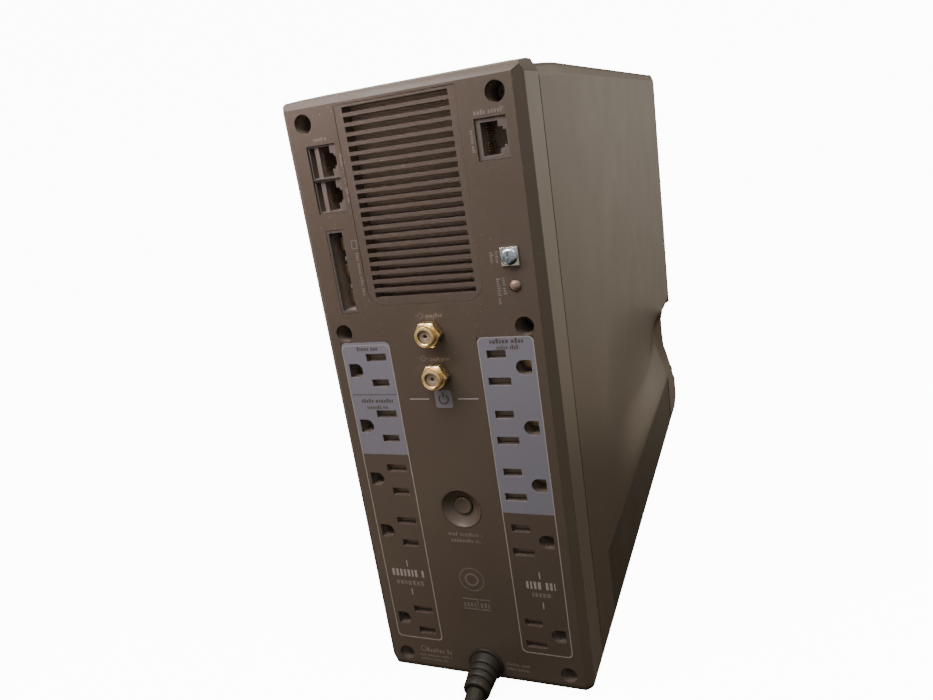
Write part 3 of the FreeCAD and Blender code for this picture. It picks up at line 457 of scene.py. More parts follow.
ZINC = metal("screw_zinc_look", (0.42, 0.50, 0.62), rough=0.2)
SCREW = metal("case_screw_look", (0.11, 0.10, 0.09), rough=0.4)
CORE = metal("core_steel_look", (0.2, 0.2, 0.21), rough=0.5, brushed=(0.02, 1.0, 1.0))
SINK = metal("sink_aluminium_look", (0.72, 0.73, 0.74), rough=0.36, brushed=(1.0, 1.0, 0.03))
DIELECTRIC = moulded("dielectric_look", (0.20, 0.16, 0.125), rough=0.4)
# Tone of the sheet behind the louvres: painted shade for the gaps between them
PAINTED_GAP_SHADE = moulded("gap_shade_sheet_look", (0.55, 0.46, 0.41), rough=0.8, grain=500.0, mottle=0.2,
                      specular=0.1)
RED = lens("red_lens_look", (0.155, 0.105, 0.085), 0.12, 0.1)
GLASS = lens("window_look", (0.03, 0.032, 0.036), 0.04, 0.25)
SCREEN = moulded("display_unit_look", (0.09, 0.11, 0.12), rough=0.3)
RUBBER = moulded("foot_rubber_look", (0.02, 0.02, 0.02), rough=0.75, grain=500.0)
CORD = moulded("cord_rubber_look", (0.013, 0.011, 0.008), rough=0.5, grain=600.0, grain_height=0.00003,
               specular=0.25)
FRAME = moulded("frame_plastic_look", (0.05, 0.05, 0.05), rough=0.5)
BATTERY = moulded("battery_case_look", (0.06, 0.06, 0.07), rough=0.45)
TAPE = moulded("winding_tape_look", (0.5, 0.36, 0.08), rough=0.35, grain=200.0, grain_height=0.0001,
               mottle=0.2)
BOARD = board_material("circuit_board_look")
RELAY = moulded("relay_look", (0.02, 0.06, 0.14), rough=0.35)


# ---------------------------------------------------------------- camera, light and floor
CAMERA_PLACE = Vector((-141.5, 473.4, 272.0)) * MM
AZIMUTH, ELEVATION, ROLL = 203.615, 16.035, 8.641
FOCAL_PIXELS, IMAGE_WIDTH, SENSOR = 735.3, 933, 36.0
FLOOR_GLOW = 12.0
WORLD_LIGHT = 0.75
# Where the dim band in the surroundings stands, as the X part of its direction
BAND_MIDDLE = 0.03


def make_camera():
    azimuth, elevation, roll = (math.radians(angle) for angle in (AZIMUTH, ELEVATION, ROLL))
    ahead = Vector((-math.sin(azimuth) * math.cos(elevation), math.cos(azimuth) * math.cos(elevation),
                    -math.sin(elevation)))
    level = ahead.cross(Vector((0, 0, 1))).normalized()
    down = ahead.cross(level)
    right = math.cos(roll) * level + math.sin(roll) * down
    up = math.sin(roll) * level - math.cos(roll) * down
    data = bpy.data.cameras.new("camera")
    data.sensor_width = SENSOR
    data.lens = FOCAL_PIXELS / IMAGE_WIDTH * SENSOR
    data.clip_start = 0.01
    camera = new_object("camera", data)
    turn = Matrix((right, up, -ahead)).transposed().to_4x4()
    camera.matrix_world = Matrix.Translation(CAMERA_PLACE) @ turn
    bpy.context.scene.camera = camera


def area_light(name, place, target, size, power, colour):
    data = bpy.data.lights.new(name, "AREA")
    data.shape = "RECTANGLE"
    data.size, data.size_y = size
    data.energy = power
    data.color = colour
    light = new_object(name, data)
    light.location = place
    light.visible_camera = False
    light.rotation_euler = (Vector(target) - Vector(place)).to_track_quat("-Z", "Y").to_euler()


def sweep_material():
    """Pale floor that glows a little, so that it stays near white under soft light."""
    material, tree, shader, where = start_material("floor_look")
    tone = ramp(tree, noise(tree, where, 2.0), [(0.3, (0.80, 0.80, 0.79)), (0.7, (0.83, 0.83, 0.82))])
    feed_all(tree, shader, Base_Color=tone, Roughness=0.8, Specular_IOR_Level=0.1,
             Emission_Color=(1.0, 1.0, 1.0, 1.0), Emission_Strength=FLOOR_GLOW)
    return material


def make_sweep():
    """A round floor whose rim turns up into the backdrop."""
    flat, turn_up, bends, steps = 5.0, 1.5, 8, 96
    profile = [(0.02, 0.0), (1.0, 0.0), (3.0, 0.0), (flat, 0.0)]
    for step in range(1, bends + 1):
        angle = math.pi / 2 * step / bends
        profile.append((flat + turn_up * math.sin(angle), turn_up - turn_up * math.cos(angle)))
    profile += [(flat + turn_up, 4.0), (flat + turn_up, 7.0)]
    bm = bmesh.new()
    angles = [2 * math.pi * step / steps for step in range(steps)]
    rings = [[bm.verts.new((radius * math.cos(angle), radius * math.sin(angle), height)) for angle in angles]
             for radius, height in profile]
    join_loops(bm, rings)
    bm.faces.new(rings[0])
    mesh = bpy.data.meshes.new("floor")
    bm.to_mesh(mesh)
    bm.free()
    floor = new_object("floor", mesh)
    mesh.materials.append(sweep_material())
    shade(floor, 60)
    floor.visible_diffuse = False
    floor.visible_glossy = False
    floor.visible_shadow = False


def make_world():
    """Light from all round, brighter above than below, with a dim upright band beyond the front."""
    world = bpy.data.worlds.new("studio")
    world.use_nodes = True
    tree = world.node_tree
    where = tree.nodes.new("ShaderNodeTexCoord")
    split = add_node(tree, "SeparateXYZ", Vector=where.outputs["Generated"])
    height = remap(tree, split.outputs["Z"], 0.0, 1.0, -1.0, 1.0)
    tone = ramp(tree, height, [(0.2, (0.01, 0.009, 0.007)), (0.28, (0.04, 0.034, 0.026)),
                               (0.325, (0.37, 0.305, 0.23)), (0.5, (0.88, 0.79, 0.67)),
                               (1.0, (0.97, 0.94, 0.90))])
    offset = reckon(tree, "SUBTRACT", split.outputs["X"], BAND_MIDDLE)
    band = remap(tree, reckon(tree, "ABSOLUTE", offset), 1.0, 0.0, 0.10, 0.185)
    beyond = remap(tree, split.outputs["Y"], 1.0, 0.0, -0.7, -0.3)
    tone = mix_in(tree, tone, reckon(tree, "MULTIPLY", band, beyond), (0.05, 0.042, 0.034))
    feed_all(tree, tree.nodes["Background"], Color=tone, Strength=WORLD_LIGHT)
    bpy.context.scene.world = world


def make_studio():
    make_sweep()
    make_world()
    area_light("key", (-0.55, 0.06, 0.98), (0, 0, 0.17), (0.5, 0.5), 9.0, (1.0, 0.94, 0.86))
    area_light("rear", (0.04, 0.36, 0.56), (0, 0.187, 0.27), (0.22, 0.22), 2.6, (1.0, 0.96, 0.94))
    area_light("corner", (0.16, 0.32, 0.40), (0.045, 0.187, 0.27), (0.1, 0.1), 0.85, (1.0, 0.74, 0.74))
    area_light("top", (0.33, 0.10, 1.0), (0, 0.18, 0.3), (0.4, 0.25), 2.3, (0.9, 0.94, 1.0))
    area_light("bounce", (0.25, 0.42, -0.09), (0, 0.187, 0.03), (0.2, 0.2), 0.17, (1.0, 0.76, 0.52))


make_camera()
make_studio()

# ---------------------------------------------------------------- mains lead
# The route's points, as the CAD model's tubes have them, in metres
LEAD_ROUTE = [(-0.001, 0.204, 0.0098), (-0.001, 0.2245, 0.00475), (-0.009, 0.258, 0.0047),
              (-0.025, 0.2932, 0.0047), (-0.045, 0.326, 0.0047)]
TAIL_ROUTE = [(0.0502, 0.3339, 0.0176), (0.0514, 0.316, 0.0148), (0.052, 0.298, 0.0125)]
LEAD_DIAMETER = 0.009
COIL_CENTRE = Vector((0.0, 0.362))
COIL_RADIUS = 0.0475
TURN_POINTS = 16
# Each turn's distance from the coil's middle radius and its height
COIL_TURNS = [(0.0046, 0.0046), (-0.0046, 0.0048), (-0.0046, 0.0128), (0.0046, 0.0130), (-0.0044, 0.0208),
              (0.0048, 0.0212)]


def coil_points():
    """Five and a half turns, clockwise from the -X side, each easing into the next."""
    points = []
    inside_cut = (3 + math.cos(2 * math.pi / TURN_POINTS)) / 4
    total = 5 * TURN_POINTS + TURN_POINTS // 2
    for step in range(total + 1):
        turn, part = divmod(step, TURN_POINTS)
        after = min(turn + 1, len(COIL_TURNS) - 1)
        ease = smooth_step((part / TURN_POINTS - 0.7) / 0.3)
        offset, height = (COIL_TURNS[turn][i] * (1 - ease) + COIL_TURNS[after][i] * ease for i in (0, 1))
        angle = math.pi - 2 * math.pi * step / TURN_POINTS
        radius = (COIL_RADIUS + offset) / inside_cut
        points.append((COIL_CENTRE.x + radius * math.cos(angle), COIL_CENTRE.y + radius * math.sin(angle),
                       height))
    return points


def make_lead():
    route = LEAD_ROUTE + coil_points() + TAIL_ROUTE
    curve = bpy.data.curves.new("mains_lead", "CURVE")
    curve.dimensions = "3D"
    curve.bevel_depth = LEAD_DIAMETER / 2
    curve.bevel_resolution = 6
    curve.resolution_u = 6
    curve.use_fill_caps = True
    spline = curve.splines.new("NURBS")
    spline.points.add(len(route) - 1)
    for point, place in zip(spline.points, route):
        point.co = (*place, 1.0)
    spline.order_u = 3
    spline.use_endpoint_u = True
    lead = new_object("mains_lead", curve)
    lead.data.materials.append(CORD)
    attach(lead, ROOT)
    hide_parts("power_cord", "cord_coil", "plug_lead")
    return lead, Vector(route[0])


def make_plug():
    """Three-pin plug: a waisted grip with ribs, and its ringed tail."""
    outline = rounded_outline([(39, 256.0, 3), (65, 256.0, 3), (65, 272, 8), (61.5, 283, 6), (56.5, 292, 2),
                               (47.5, 292, 2), (42.5, 283, 6), (39, 272, 8)], 6)
    grip = prism("plug_grip", outline, "xy", 0.6, 24.4)
    bevel(grip, 3.0, 50, 4)
    bm = bmesh.new()
    bm.from_mesh(grip.data)
    bm.transform(Matrix.Scale(1 / MM, 4))
    for number in range(5):
        rib = 262 + 3.2 * number
        for height in ((24.0, 24.9), (0.4, 0.9)):
            add_block(bm, (45, 59), (rib, rib + 1.5), height)
    bpy.data.objects.remove(grip)
    body = from_bmesh("plug_body_look", bm)
    finish_piece(body, CORD, ROOT, ["plug_body"], 40)
    tail = lathe("plug_tail", ringed_profile(291.5, 8.6, 5.3, 10.5, 3), (52, 0, 12.6))
    finish_piece(tail, CORD, ROOT, (), 40)
    blades = refined("plug_blades", BRASS, 0.25)
    return [body, tail, blades]


def ringed_profile(start, first_radius, last_radius, length, rings):
    """Tapered boot cut by ring grooves, as (distance, radius) points."""
    points = [(start, first_radius * 0.9)]
    step = length / rings
    for number in range(rings):
        radius = first_radius + (last_radius - first_radius) * number / max(rings - 1, 1)
        low = start + number * step
        points += [(low + 0.06 * step, radius * 0.97), (low + 0.2 * step, radius),
                   (low + 0.62 * step, radius * 0.985), (low + 0.72 * step, radius * 0.93),
                   (low + 0.74 * step, radius * 0.80), (low + 0.98 * step, radius * 0.79)]
    points.append((start + length, last_radius * 0.84))
    return points


lead, lead_exit = make_lead()
plug_pieces = make_plug()


# ---------------------------------------------------------------- casing
HOLLOW_LENGTH = 239.0
HOLLOW_RISE = 56.0
HOLLOW_DEPTH = 8.0
HOLLOW_FOOT = 48.0
CREASE_CURVE = 1.6
FADE_CURVE = 1.2
VALLEY_DROP = 62.0
VALLEY_REACH = 34.0
VALLEY_CURVE = 2.4
# Depth for each millimetre of drop at the steepest, and the hollow's depth on the inside
STEEPEST = 0.45
INNER_DEPTH = 5.9
# How far the top falls away at the rear, and how far the front bows back at its sides
TOP_DROP = 1.5
FRONT_BOW = 3.5
LIP_WIDTH = 7.0
LIP_DEPTH = 5.0
SHELL_FRONT = FRONT + 7.3
# The edge of the notch in side view, from under the front panel to the foot of the front
NOTCH_EDGE = [(SHELL_FRONT, NOTCH_TOP), (NOTCH_BACK, NOTCH_TOP), (NOTCH_BACK, NOTCH_LOW),
              (FRONT, NOTCH_TOP - 68)]
# The ways that the battery cover and its base plate leave open in the shell, as low and high Y
COVER_WAY = (REAR - 335, REAR - 58.5)
COVER_TOP = 46.75
BASE_WAY = (REAR - 313, REAR - 171)
BASE_REACH = 44
COVER_GAP = 0.3
PAST_SIDES = 70


def crease_height(y):
    """Height of the upper edge of the side hollow at a distance along the casing."""
    share = (y - NOTCH_BACK) / HOLLOW_LENGTH
    return NOTCH_TOP + HOLLOW_RISE * (1 - (1 - min(max(share, 0.0), 1.0)) ** CREASE_CURVE)


def hollow_depth(y, z):
    """How far the side is pressed in: down to a valley line that runs back from the notch, and out again."""
    along = y - NOTCH_BACK
    share = along / HOLLOW_LENGTH
    if not 0.0 < share < 1.0:
        return 0.0
    drop = VALLEY_DROP * (1 - math.exp(-along / VALLEY_REACH))
    deepest = min(STEEPEST * drop, HOLLOW_DEPTH * (1 - share ** 2) ** FADE_CURVE)
    below = crease_height(y) - z
    softness = 0.6 + 0.05 * along
    below = (below + math.hypot(below, softness)) / 2
    if below < drop:
        return deepest * (1 - (1 - below / drop) ** VALLEY_CURVE)
    foot = crease_height(y) - drop - HOLLOW_FOOT
    return deepest * (1 - smooth_step((below - drop) / foot))


def lip_depth(y, z):
    """How far the side rolls in towards the edge of the notch."""
    nearest = min(segment_distance((y, z), low, high) for low, high in zip(NOTCH_EDGE, NOTCH_EDGE[1:]))
    if nearest >= LIP_WIDTH:
        return 0.0
    return LIP_DEPTH * (1 - math.sqrt(1 - (1 - nearest / LIP_WIDTH) ** 2))


def segment_distance(point, low, high):
    start, along = Vector(low), Vector(high) - Vector(low)
    offset = Vector(point) - start
    share = min(max(offset.dot(along) / along.dot(along), 0.0), 1.0)
    return (offset - along * share).length


def section_ring(inset, spacing):
    """Points around the casing's end view, about as far apart as the spacing on its straight parts."""
    half = HALF_WIDTH - inset
    top = HEIGHT - inset
    corners = [(half, BASE + inset, max(6.0 - inset, 1.0)), (half, HEIGHT - 8 - inset, 2.5),
                (half - 2.6, HEIGHT - 2.5 - inset, 3.5), (27.0, top, 40.0)]
    corners += [(-u, v, radius) for u, v, radius in reversed(corners)]
    rough = rounded_outline(corners, 6)
    points = []
    for index, start in enumerate(rough):
        end = rough[(index + 1) % len(rough)]
        pieces = max(1, round(math.dist(start, end) / spacing))
        for piece in range(pieces):
            share = piece / pieces
            points.append(tuple(a + (b - a) * share for a, b in zip(start, end)))
    return points


def stations(low, high, spacing, fine_to, fine):
    """Distances along the casing, closer together in front of fine_to."""
    spots = []
    for start, end, step in ((low, fine_to, fine), (fine_to, high, spacing)):
        pieces = max(1, round((end - start) / step))
        spots += [start + (end - start) * piece / pieces for piece in range(pieces)]
    return spots + [high]


def casing_body(name, inset, spacing, low, high, fine):
    """The casing's full form as a loft, with the side hollows pressed into it."""
    bm = bmesh.new()
    ring = section_ring(inset, spacing)
    loops = []
    for y in stations(low, high, spacing, NOTCH_BACK + 40.0, fine):
        loop = []
        drop = TOP_DROP * smooth_step((y - (REAR - 70)) / 45.0)
        bow = smooth_step((-165 - y) / 30.0) * FRONT_BOW
        for x, z in ring:
            if abs(x) > HALF_WIDTH - inset - 0.01:
                pressed = hollow_depth(y, z)
                if inset > 0:
                    pressed = min(pressed, INNER_DEPTH)
                if y < NOTCH_BACK + 20.0:
                    pressed = max(pressed, lip_depth(y, z))
                x -= math.copysign(pressed, x)
            sunk = drop * smooth_step((z - 250) / 50)
            loop.append(bm.verts.new((x, y + bow * (x / HALF_WIDTH) ** 2, z - sunk)))
        loops.append(loop)
    join_loops(bm, loops)
    bm.faces.new(loops[0])
    bm.faces.new(loops[-1][::-1])
    return from_bmesh(name, bm)


def silhouette(name, inset, rear):
    """A block with the casing's outline in side view, notch included. Past the top the loft decides."""
    foot_front = FRONT + 2.8 * inset
    corners = [
        (rear, BASE + inset - 5, 0), (rear, HEIGHT + 5, 0),
        (SHELL_FRONT, HEIGHT + 5, 0), (SHELL_FRONT, NOTCH_TOP + inset, 1.2),
        (NOTCH_BACK + inset, NOTCH_TOP + inset, 8),
        (NOTCH_BACK + inset, NOTCH_LOW - inset / 3, 8),
        (foot_front, NOTCH_TOP - 68, 14), (foot_front, BASE + 12, 14),
        (FRONT + 26 + inset, BASE + inset, 20), (FRONT + 60, BASE + inset - 5, 0),
    ]
    return prism(name, rounded_outline(corners, 10), "yz", -PAST_SIDES, PAST_SIDES)


def top_front_rounding():
    """A block as large as the unit in side view, with a round top front corner."""
    front, top = FRONT - 0.05, HEIGHT + 0.05
    corners = [(front, -5, 0), (REAR + 10, -5, 0), (REAR + 10, top, 0), (front, top, 12)]
    return prism("top_front", rounded_outline(corners, 10), "yz", -PAST_SIDES, PAST_SIDES)


def make_front_bezel():
    bezel = refined("front_bezel", GLOSS, 0.6)
    keep_flats_flat(shade(boolean(bezel, top_front_rounding(), "INTERSECT")))


def make_shell():
    """Casing shell: outer form less its hollow, the front mouth and the battery bay's openings."""
    shell = casing_body("main_shell_look", 0.0, 2.2, FRONT, SEAM, 1.2)
    boolean(shell, silhouette("silhouette", 0.0, SEAM), "INTERSECT")
    room = casing_body("room", WALL, 6.0, FRONT - 4, SEAM + 6, 3.0)
    boolean(room, silhouette("room_silhouette", WALL, SEAM + 6), "INTERSECT")
    boolean(shell, room, "DIFFERENCE")
    boolean(shell, top_front_rounding(), "INTERSECT")
    mouth = block("front_mouth", (-52.5, 52.5), (FRONT - 5, FRONT + 12), (NOTCH_TOP + WALL, HEIGHT - 5))
    cover_way = block("cover_way", (-PAST_SIDES, -HALF_WIDTH + WALL + 1),
                      (COVER_WAY[0] - COVER_GAP, COVER_WAY[1] + COVER_GAP), (-5, COVER_TOP + COVER_GAP))
    base_way = block("cover_base_way", (-PAST_SIDES, BASE_REACH + COVER_GAP),
                     (BASE_WAY[0] - COVER_GAP, BASE_WAY[1] + COVER_GAP), (-5, BASE + WALL + 1))
    for cutter in (mouth, cover_way, base_way):
        boolean(shell, cutter, "DIFFERENCE")
    finish_piece(shell, SHELL, ROOT, ["main_shell"], 30)


make_shell()
make_front_bezel()


# ---------------------------------------------------------------- pieces with a finer form than the CAD's
COAX_X = -0.4
COAX_LEVELS = (190.8, 170.8)


def turned(name, profile, centre, material, stands_for, body=ROOT, steps=64, sharp=35):
    """A turned piece along +Y from a (distance, radius) profile."""
    return finish_piece(lathe(name, profile, centre, steps), material, body, stands_for, sharp)


def arc_profile(middle, radius, start, end, steps):
    """Profile points on an arc about a point of the axis, between two angles in degrees from it."""
    points = []
    for step in range(steps + 1):
        angle = math.radians(start + (end - start) * step / steps)
        points.append((middle + radius * math.cos(angle), radius * math.sin(angle)))
    return points


def make_rear_bezel():
    """The moulded rear panel: painted light deep inside its openings, and on its deep rim the shell's smooth
    finish in a lighter tone, painted light.
    """
    bezel = refined("rear_bezel", BEZEL, 0.35, 3, chosen=on_bezel_outside)
    keep_flats_flat(shade(boolean(bezel, lower_corners(), "INTERSECT")))
    bezel.data.materials.append(PAINTED_LIT_RIM)
    bezel.data.materials.append(LOUVRE)
    panel_edge = (REAR - 7.0) * MM
    for face in bezel.data.polygons:
        x, y, z = face.center
        # Faces inside the openings take the louvre plastic, with its painted light in the depths
        if abs(x) < 51 * MM and 7 * MM < z < 293 * MM and y < (REAR - 0.2) * MM:
            face.material_index = 2
        # Outer walls and top take the lighter copy of the shell's plastic: painted light
        outward = abs(face.normal.x) > 0.9 and abs(x) > (HALF_WIDTH - 0.6) * MM
        upward = face.normal.z > 0.8 and z > (HEIGHT - 14) * MM
        if (outward or upward) and y < panel_edge:
            face.material_index = 1


def on_bezel_outside(point):
    """Whether a point in millimetres is on the rear panel's face or outer walls."""
    on_wall = abs(point.x) > HALF_WIDTH - 2 or not BASE + 0.3 < point.z < HEIGHT - 3.5
    return on_wall or point.y > REAR - 0.5


def lower_corners():
    """A block whose lower corners are round and narrow towards the panel with its bevel."""
    bm = bmesh.new()
    loops = []
    for y in (REAR - 30, REAR + 3):
        half = HALF_WIDTH + 0.04 + (REAR - 4 - y)
        outline = rounded_outline([(-half, BASE - 0.04, 6.5), (half, BASE - 0.04, 6.5), (half, HEIGHT + 5, 0),
                                   (-half, HEIGHT + 5, 0)], 10)
        loops.append([bm.verts.new((x, y, z)) for x, z in outline])
    near, far = loops
    bm.faces.new(near)
    bm.faces.new(far[::-1])
    join_loops(bm, loops)
    return from_bmesh("lower_corners", bm)


def make_gap_shade_sheet():
    """Pleated sheet behind the louvres, clear of the fan, whose tone stands for the shade seen through the
    gaps: painted shade.
    """
    low, pleat, pleats, half = 205.4, 1.0, 86, 25.6
    face, back = REAR - 7.9, REAR - 9.0
    outline = [(face - 0.4 * (number % 2), low + pleat * number) for number in range(pleats + 1)]
    outline += [(back, low + pleat * pleats), (back, low)]
    screen = prism("gap_shade_sheet", outline, "yz", -half, half)
    finish_piece(screen, PAINTED_GAP_SHADE, ROOT, (), 30)


def make_strain_relief():
    """Flange against the panel and a bulging boot with three shallow grooves, which droops with the lead."""
    seat = Vector((-1.0, REAR, 13.0))
    reach, drop = 17.0, 3.2
    length = math.hypot(reach, drop)
    flange = lathe("strain_relief_look", [(-8.0, 6.6), (-0.2, 6.6), (0.0, 9.2), (0.25, 9.55), (0.8, 9.55),
                                          (1.15, 9.3), (1.3, 8.9), (1.35, 6.0)], seat)
    boot = [(-1.0, 6.4), (0.2, 8.25), (1.2, 8.15)]
    groove_half = 0.45
    for share in (0.30, 0.52, 0.74):
        middle = share * length
        radius = 8.15 - 1.5 * share
        boot += [(middle - 1.6, radius + 0.12), (middle - groove_half - 0.3, radius - 0.06),
                 (middle - groove_half, radius - 0.3), (middle - groove_half + 0.15, radius - 0.95),
                 (middle + groove_half - 0.15, radius - 0.95), (middle + groove_half, radius - 0.35),
                 (middle + groove_half + 0.3, radius - 0.1)]
    boot += [(length - 2.2, 6.95), (length - 0.7, 6.8), (length - 0.2, 6.55), (length, 6.1),
             (length - 0.1, 4.2)]
    cone = lathe("boot", boot, (0, 0, 0))
    lean = Matrix.Rotation(-math.atan2(drop, reach), 4, "X")
    cone.data.transform(Matrix.Translation(seat * MM) @ lean)
    boolean(flange, cone, "UNION")
    return finish_piece(flange, CORD, ROOT, ["strain_relief"], 40)


def make_coax(tag, level):
    """Gold barrel with a round lip, a hexagon nut with turned corners, and its washer."""
    centre = (COAX_X, REAR, level)
    barrel = [(-12.0, 4.3), (5.2, 4.3), (5.25, 4.15), (5.55, 4.2), (5.8, 4.6), (6.1, 4.75), (7.3, 4.75),
              (7.65, 4.65), (7.8, 4.4), (7.8, 3.4), (7.65, 3.2), (7.3, 3.1), (-5.0, 3.05), (-5.0, 0.5)]
    turned(f"coax_barrel_{tag}_look", barrel, centre, GOLD, [f"coax_barrel_{tag}"], steps=96)
    corner = 6.4
    hexagon = [(COAX_X + corner * math.cos(math.pi / 3 * side), level + corner * math.sin(math.pi / 3 * side))
               for side in range(6)]
    nut = prism(f"coax_nut_{tag}_look", hexagon, "xz", REAR + 0.7, REAR + 5.2)
    turn = lathe("turning", [(-1.0, 7.2), (4.3, 6.6), (5.15, 5.5), (5.2, 5.0)], centre, steps=96)
    boolean(nut, turn, "INTERSECT")
    washer = [(0.0, 6.85), (0.15, 6.9), (0.65, 6.9), (0.85, 6.75), (0.9, 6.0)]
    boolean(nut, lathe("washer", washer, centre, steps=96), "UNION")
    boolean(nut, lathe("bore", [(-1.0, 4.35), (8.0, 4.35)], centre, steps=96), "DIFFERENCE")
    finish_piece(nut, GOLD, ROOT, [f"coax_nut_{tag}"], 25)


def make_coax_cores():
    """Insulators set back in the barrels, each with a flared contact hole."""
    profile = [(-5.6, 2.9), (6.4, 3.0), (6.7, 2.95), (6.75, 2.7), (6.7, 1.2), (6.45, 0.9), (5.2, 0.65),
               (-2.0, 0.55)]
    bm = bmesh.new()
    for level in COAX_LEVELS:
        core = lathe("core", profile, (COAX_X, REAR, level))
        bm.from_mesh(core.data)
        bpy.data.objects.remove(core)
    bm.transform(Matrix.Scale(1 / MM, 4))
    finish_piece(from_bmesh("coax_cores_look", bm), DIELECTRIC, ROOT, ["coax_cores"])


def make_ground_screw():
    """Low domed head with a cross recess, on its shank."""
    centre = Vector((-42.0, REAR, 222.2))
    profile = [(-9.0, 1.8), (-8.4, 2.2), (1.0, 2.2), (1.0, 3.3), (1.15, 3.5), (1.9, 3.5), (2.25, 3.25),
               (2.45, 2.9), (2.62, 2.0), (2.7, 1.0), (2.7, 0.2)]
    screw = lathe("ground_screw_look", profile, centre)
    for across, up in ((2.3, 0.55), (0.55, 2.3)):
        bar = block("cross", (centre.x - across, centre.x + across), (REAR + 1.4, REAR + 4),
                    (centre.z - up, centre.z + up))
        boolean(screw, bar, "DIFFERENCE")
    finish_piece(screw, ZINC, "ground_clamp", ["ground_screw"], 30)


def make_fault_led():
    start, radius = -1.3, 2.79
    profile = [(-8.0, 2.5), (-7.7, 2.68), (start, radius)] + arc_profile(start, radius, 80, 4, 10)
    turned("fault_led_look", profile, (-42.7, REAR, 209.7), RED, ["fault_led"])


def make_breaker():
    """Dished collar with a fine raised rim, and the reset button with a turned-in top."""
    centre = (-0.9, REAR, 102.3)
    outer = [(-9.0, 10.3), (-0.3, 10.35), (0.0, 10.3), (0.1, 10.05), (0.0, 9.8)]
    dish = arc_profile(8.6, 13.2, 131, 158, 14)
    body = lathe("breaker_body_look", outer + dish + [(-3.9, 4.75), (-9.0, 4.7)], centre, steps=96)
    case = block("case", (centre[0] - 9, centre[0] + 9), (REAR - 34, REAR - 8.9),
                 (centre[2] - 12, centre[2] + 12))
    boolean(body, case, "UNION")
    finish_piece(body, BEZEL, ROOT, ["breaker_body"], 30)
    top = [(-12.5, 4.4), (-12.4, 4.55), (-3.4, 4.6), (-2.9, 4.5), (-2.6, 4.2), (-2.5, 3.8), (-2.7, 3.3),
           (-2.85, 2.4), (-2.9, 1.2), (-2.9, 0.2)]
    turned("breaker_button_look", top, centre, BEZEL, ["breaker_button"],
           "breaker_reset", 64, 40)


make_rear_bezel()
make_gap_shade_sheet()
relief = make_strain_relief()
for coax_tag, coax_level in zip(("in", "out"), COAX_LEVELS):
    make_coax(coax_tag, coax_level)
make_coax_cores()
make_ground_screw()
make_fault_led()
make_breaker()


# ---------------------------------------------------------------- printed marks, all without lettering
PRINT_LIFT = 0.05
PRINT_FOOT = REAR - 0.03
STRIP_CENTRE, STRIP_WIDTH, STRIP_LOW, STRIP_HIGH = 34.75, 25.9, 23.5, 187.3
STROKES = random.Random(11)


def print_bar(bm, x, z, lift=PRINT_LIFT):
    """A thin block of print on the rear panel, between low and high values."""
    add_block(bm, x, (PRINT_FOOT, REAR + lift), z)


def caption(bm, start, length, height, weight=0.45, upright=False, capitals=False):
    """A row of short strokes and gaps that stands for a caption, running to -X, or downwards if upright."""
    at = 0.0
    until_gap = STROKES.randint(4, 8)
    while at < length:
        stroke = height * weight * STROKES.uniform(0.7, 1.25)
        tall = height * (1.0 if capitals else STROKES.choice((0.68, 0.68, 0.74, 1.0)))
        stroke = min(stroke, length - at)
        if stroke > 0.08:
            if upright:
                print_bar(bm, (start[0] - tall, start[0]), (start[1] - at - stroke, start[1] - at))
            else:
                print_bar(bm, (start[0] - at - stroke, start[0] - at), (start[1], start[1] + tall))
        at += stroke + height * 0.22
        until_gap -= 1
        if until_gap == 0:
            at += height * 0.4
            until_gap = STROKES.randint(4, 8)


def ring_print(bm, centre, radius, width, start=0, end=360, lift=PRINT_LIFT, steps=36):
    """A flat ring, or part of one, on the rear panel."""
    whole = end - start >= 360
    pieces = max(3, round(steps * (end - start) / 360))
    rows = []
    for step in range(pieces if whole else pieces + 1):
        angle = math.radians(start + (end - start) * step / pieces)
        across, up = math.cos(angle), math.sin(angle)
        row = []
        for reach, y in ((radius - width / 2, PRINT_FOOT), (radius + width / 2, PRINT_FOOT),
                         (radius + width / 2, REAR + lift), (radius - width / 2, REAR + lift)):
            row.append(bm.verts.new((centre[0] + reach * across, y, centre[1] + reach * up)))
        rows.append(row)
    join_loops(bm, rows + rows[:1] if whole else rows)
    if not whole:
        bm.faces.new(rows[0])
        bm.faces.new(rows[-1])


def frame_print(bm, side):
    """Fine line round one column of outlets, with round lower corners."""
    half = STRIP_WIDTH / 2
    middle = side * STRIP_CENTRE
    top = STRIP_HIGH + (0.4 if side < 0 else -1.2)
    radius, line = 2.4, 0.5
    outer, inner = (rounded_rectangle((middle - half + inset, STRIP_LOW + inset),
                                      (middle + half - inset, top - inset), radius, 6)
                    for inset in (0.0, line))
    loops = [[bm.verts.new((u, y, v)) for u, v in ring]
             for ring, y in ((inner, PRINT_FOOT), (outer, PRINT_FOOT), (outer, REAR + PRINT_LIFT),
                             (inner, REAR + PRINT_LIFT))]
    join_loops(bm, loops + loops[:1])


def finish_print(name, bm, material):
    finish_piece(from_bmesh(name, bm), material, ROOT, (), 30)


def panel_lines():
    """Frame lines round both strips, the lines beside the middle plate, and the ticks and words below."""
    bm = bmesh.new()
    for side in (1, -1):
        frame_print(bm, side)
    for low, high in ((6.0, 16.0), (-18.5, -8.5)):
        print_bar(bm, (low, high), (158.7, 159.25))
    for x, tall, bold in ((34.4, 3.7, (43.9, 19.0)), (-36.1, 3.7, (-28.8, 14.5))):
        for low in (67.0, 50.2):
            print_bar(bm, (x - 0.3, x + 0.3), (low, low + tall))
        caption(bm, (bold[0], 61.2), bold[1], 4.0, 0.3, capitals=True)
    finish_print("panel_lines", bm, PRINT)


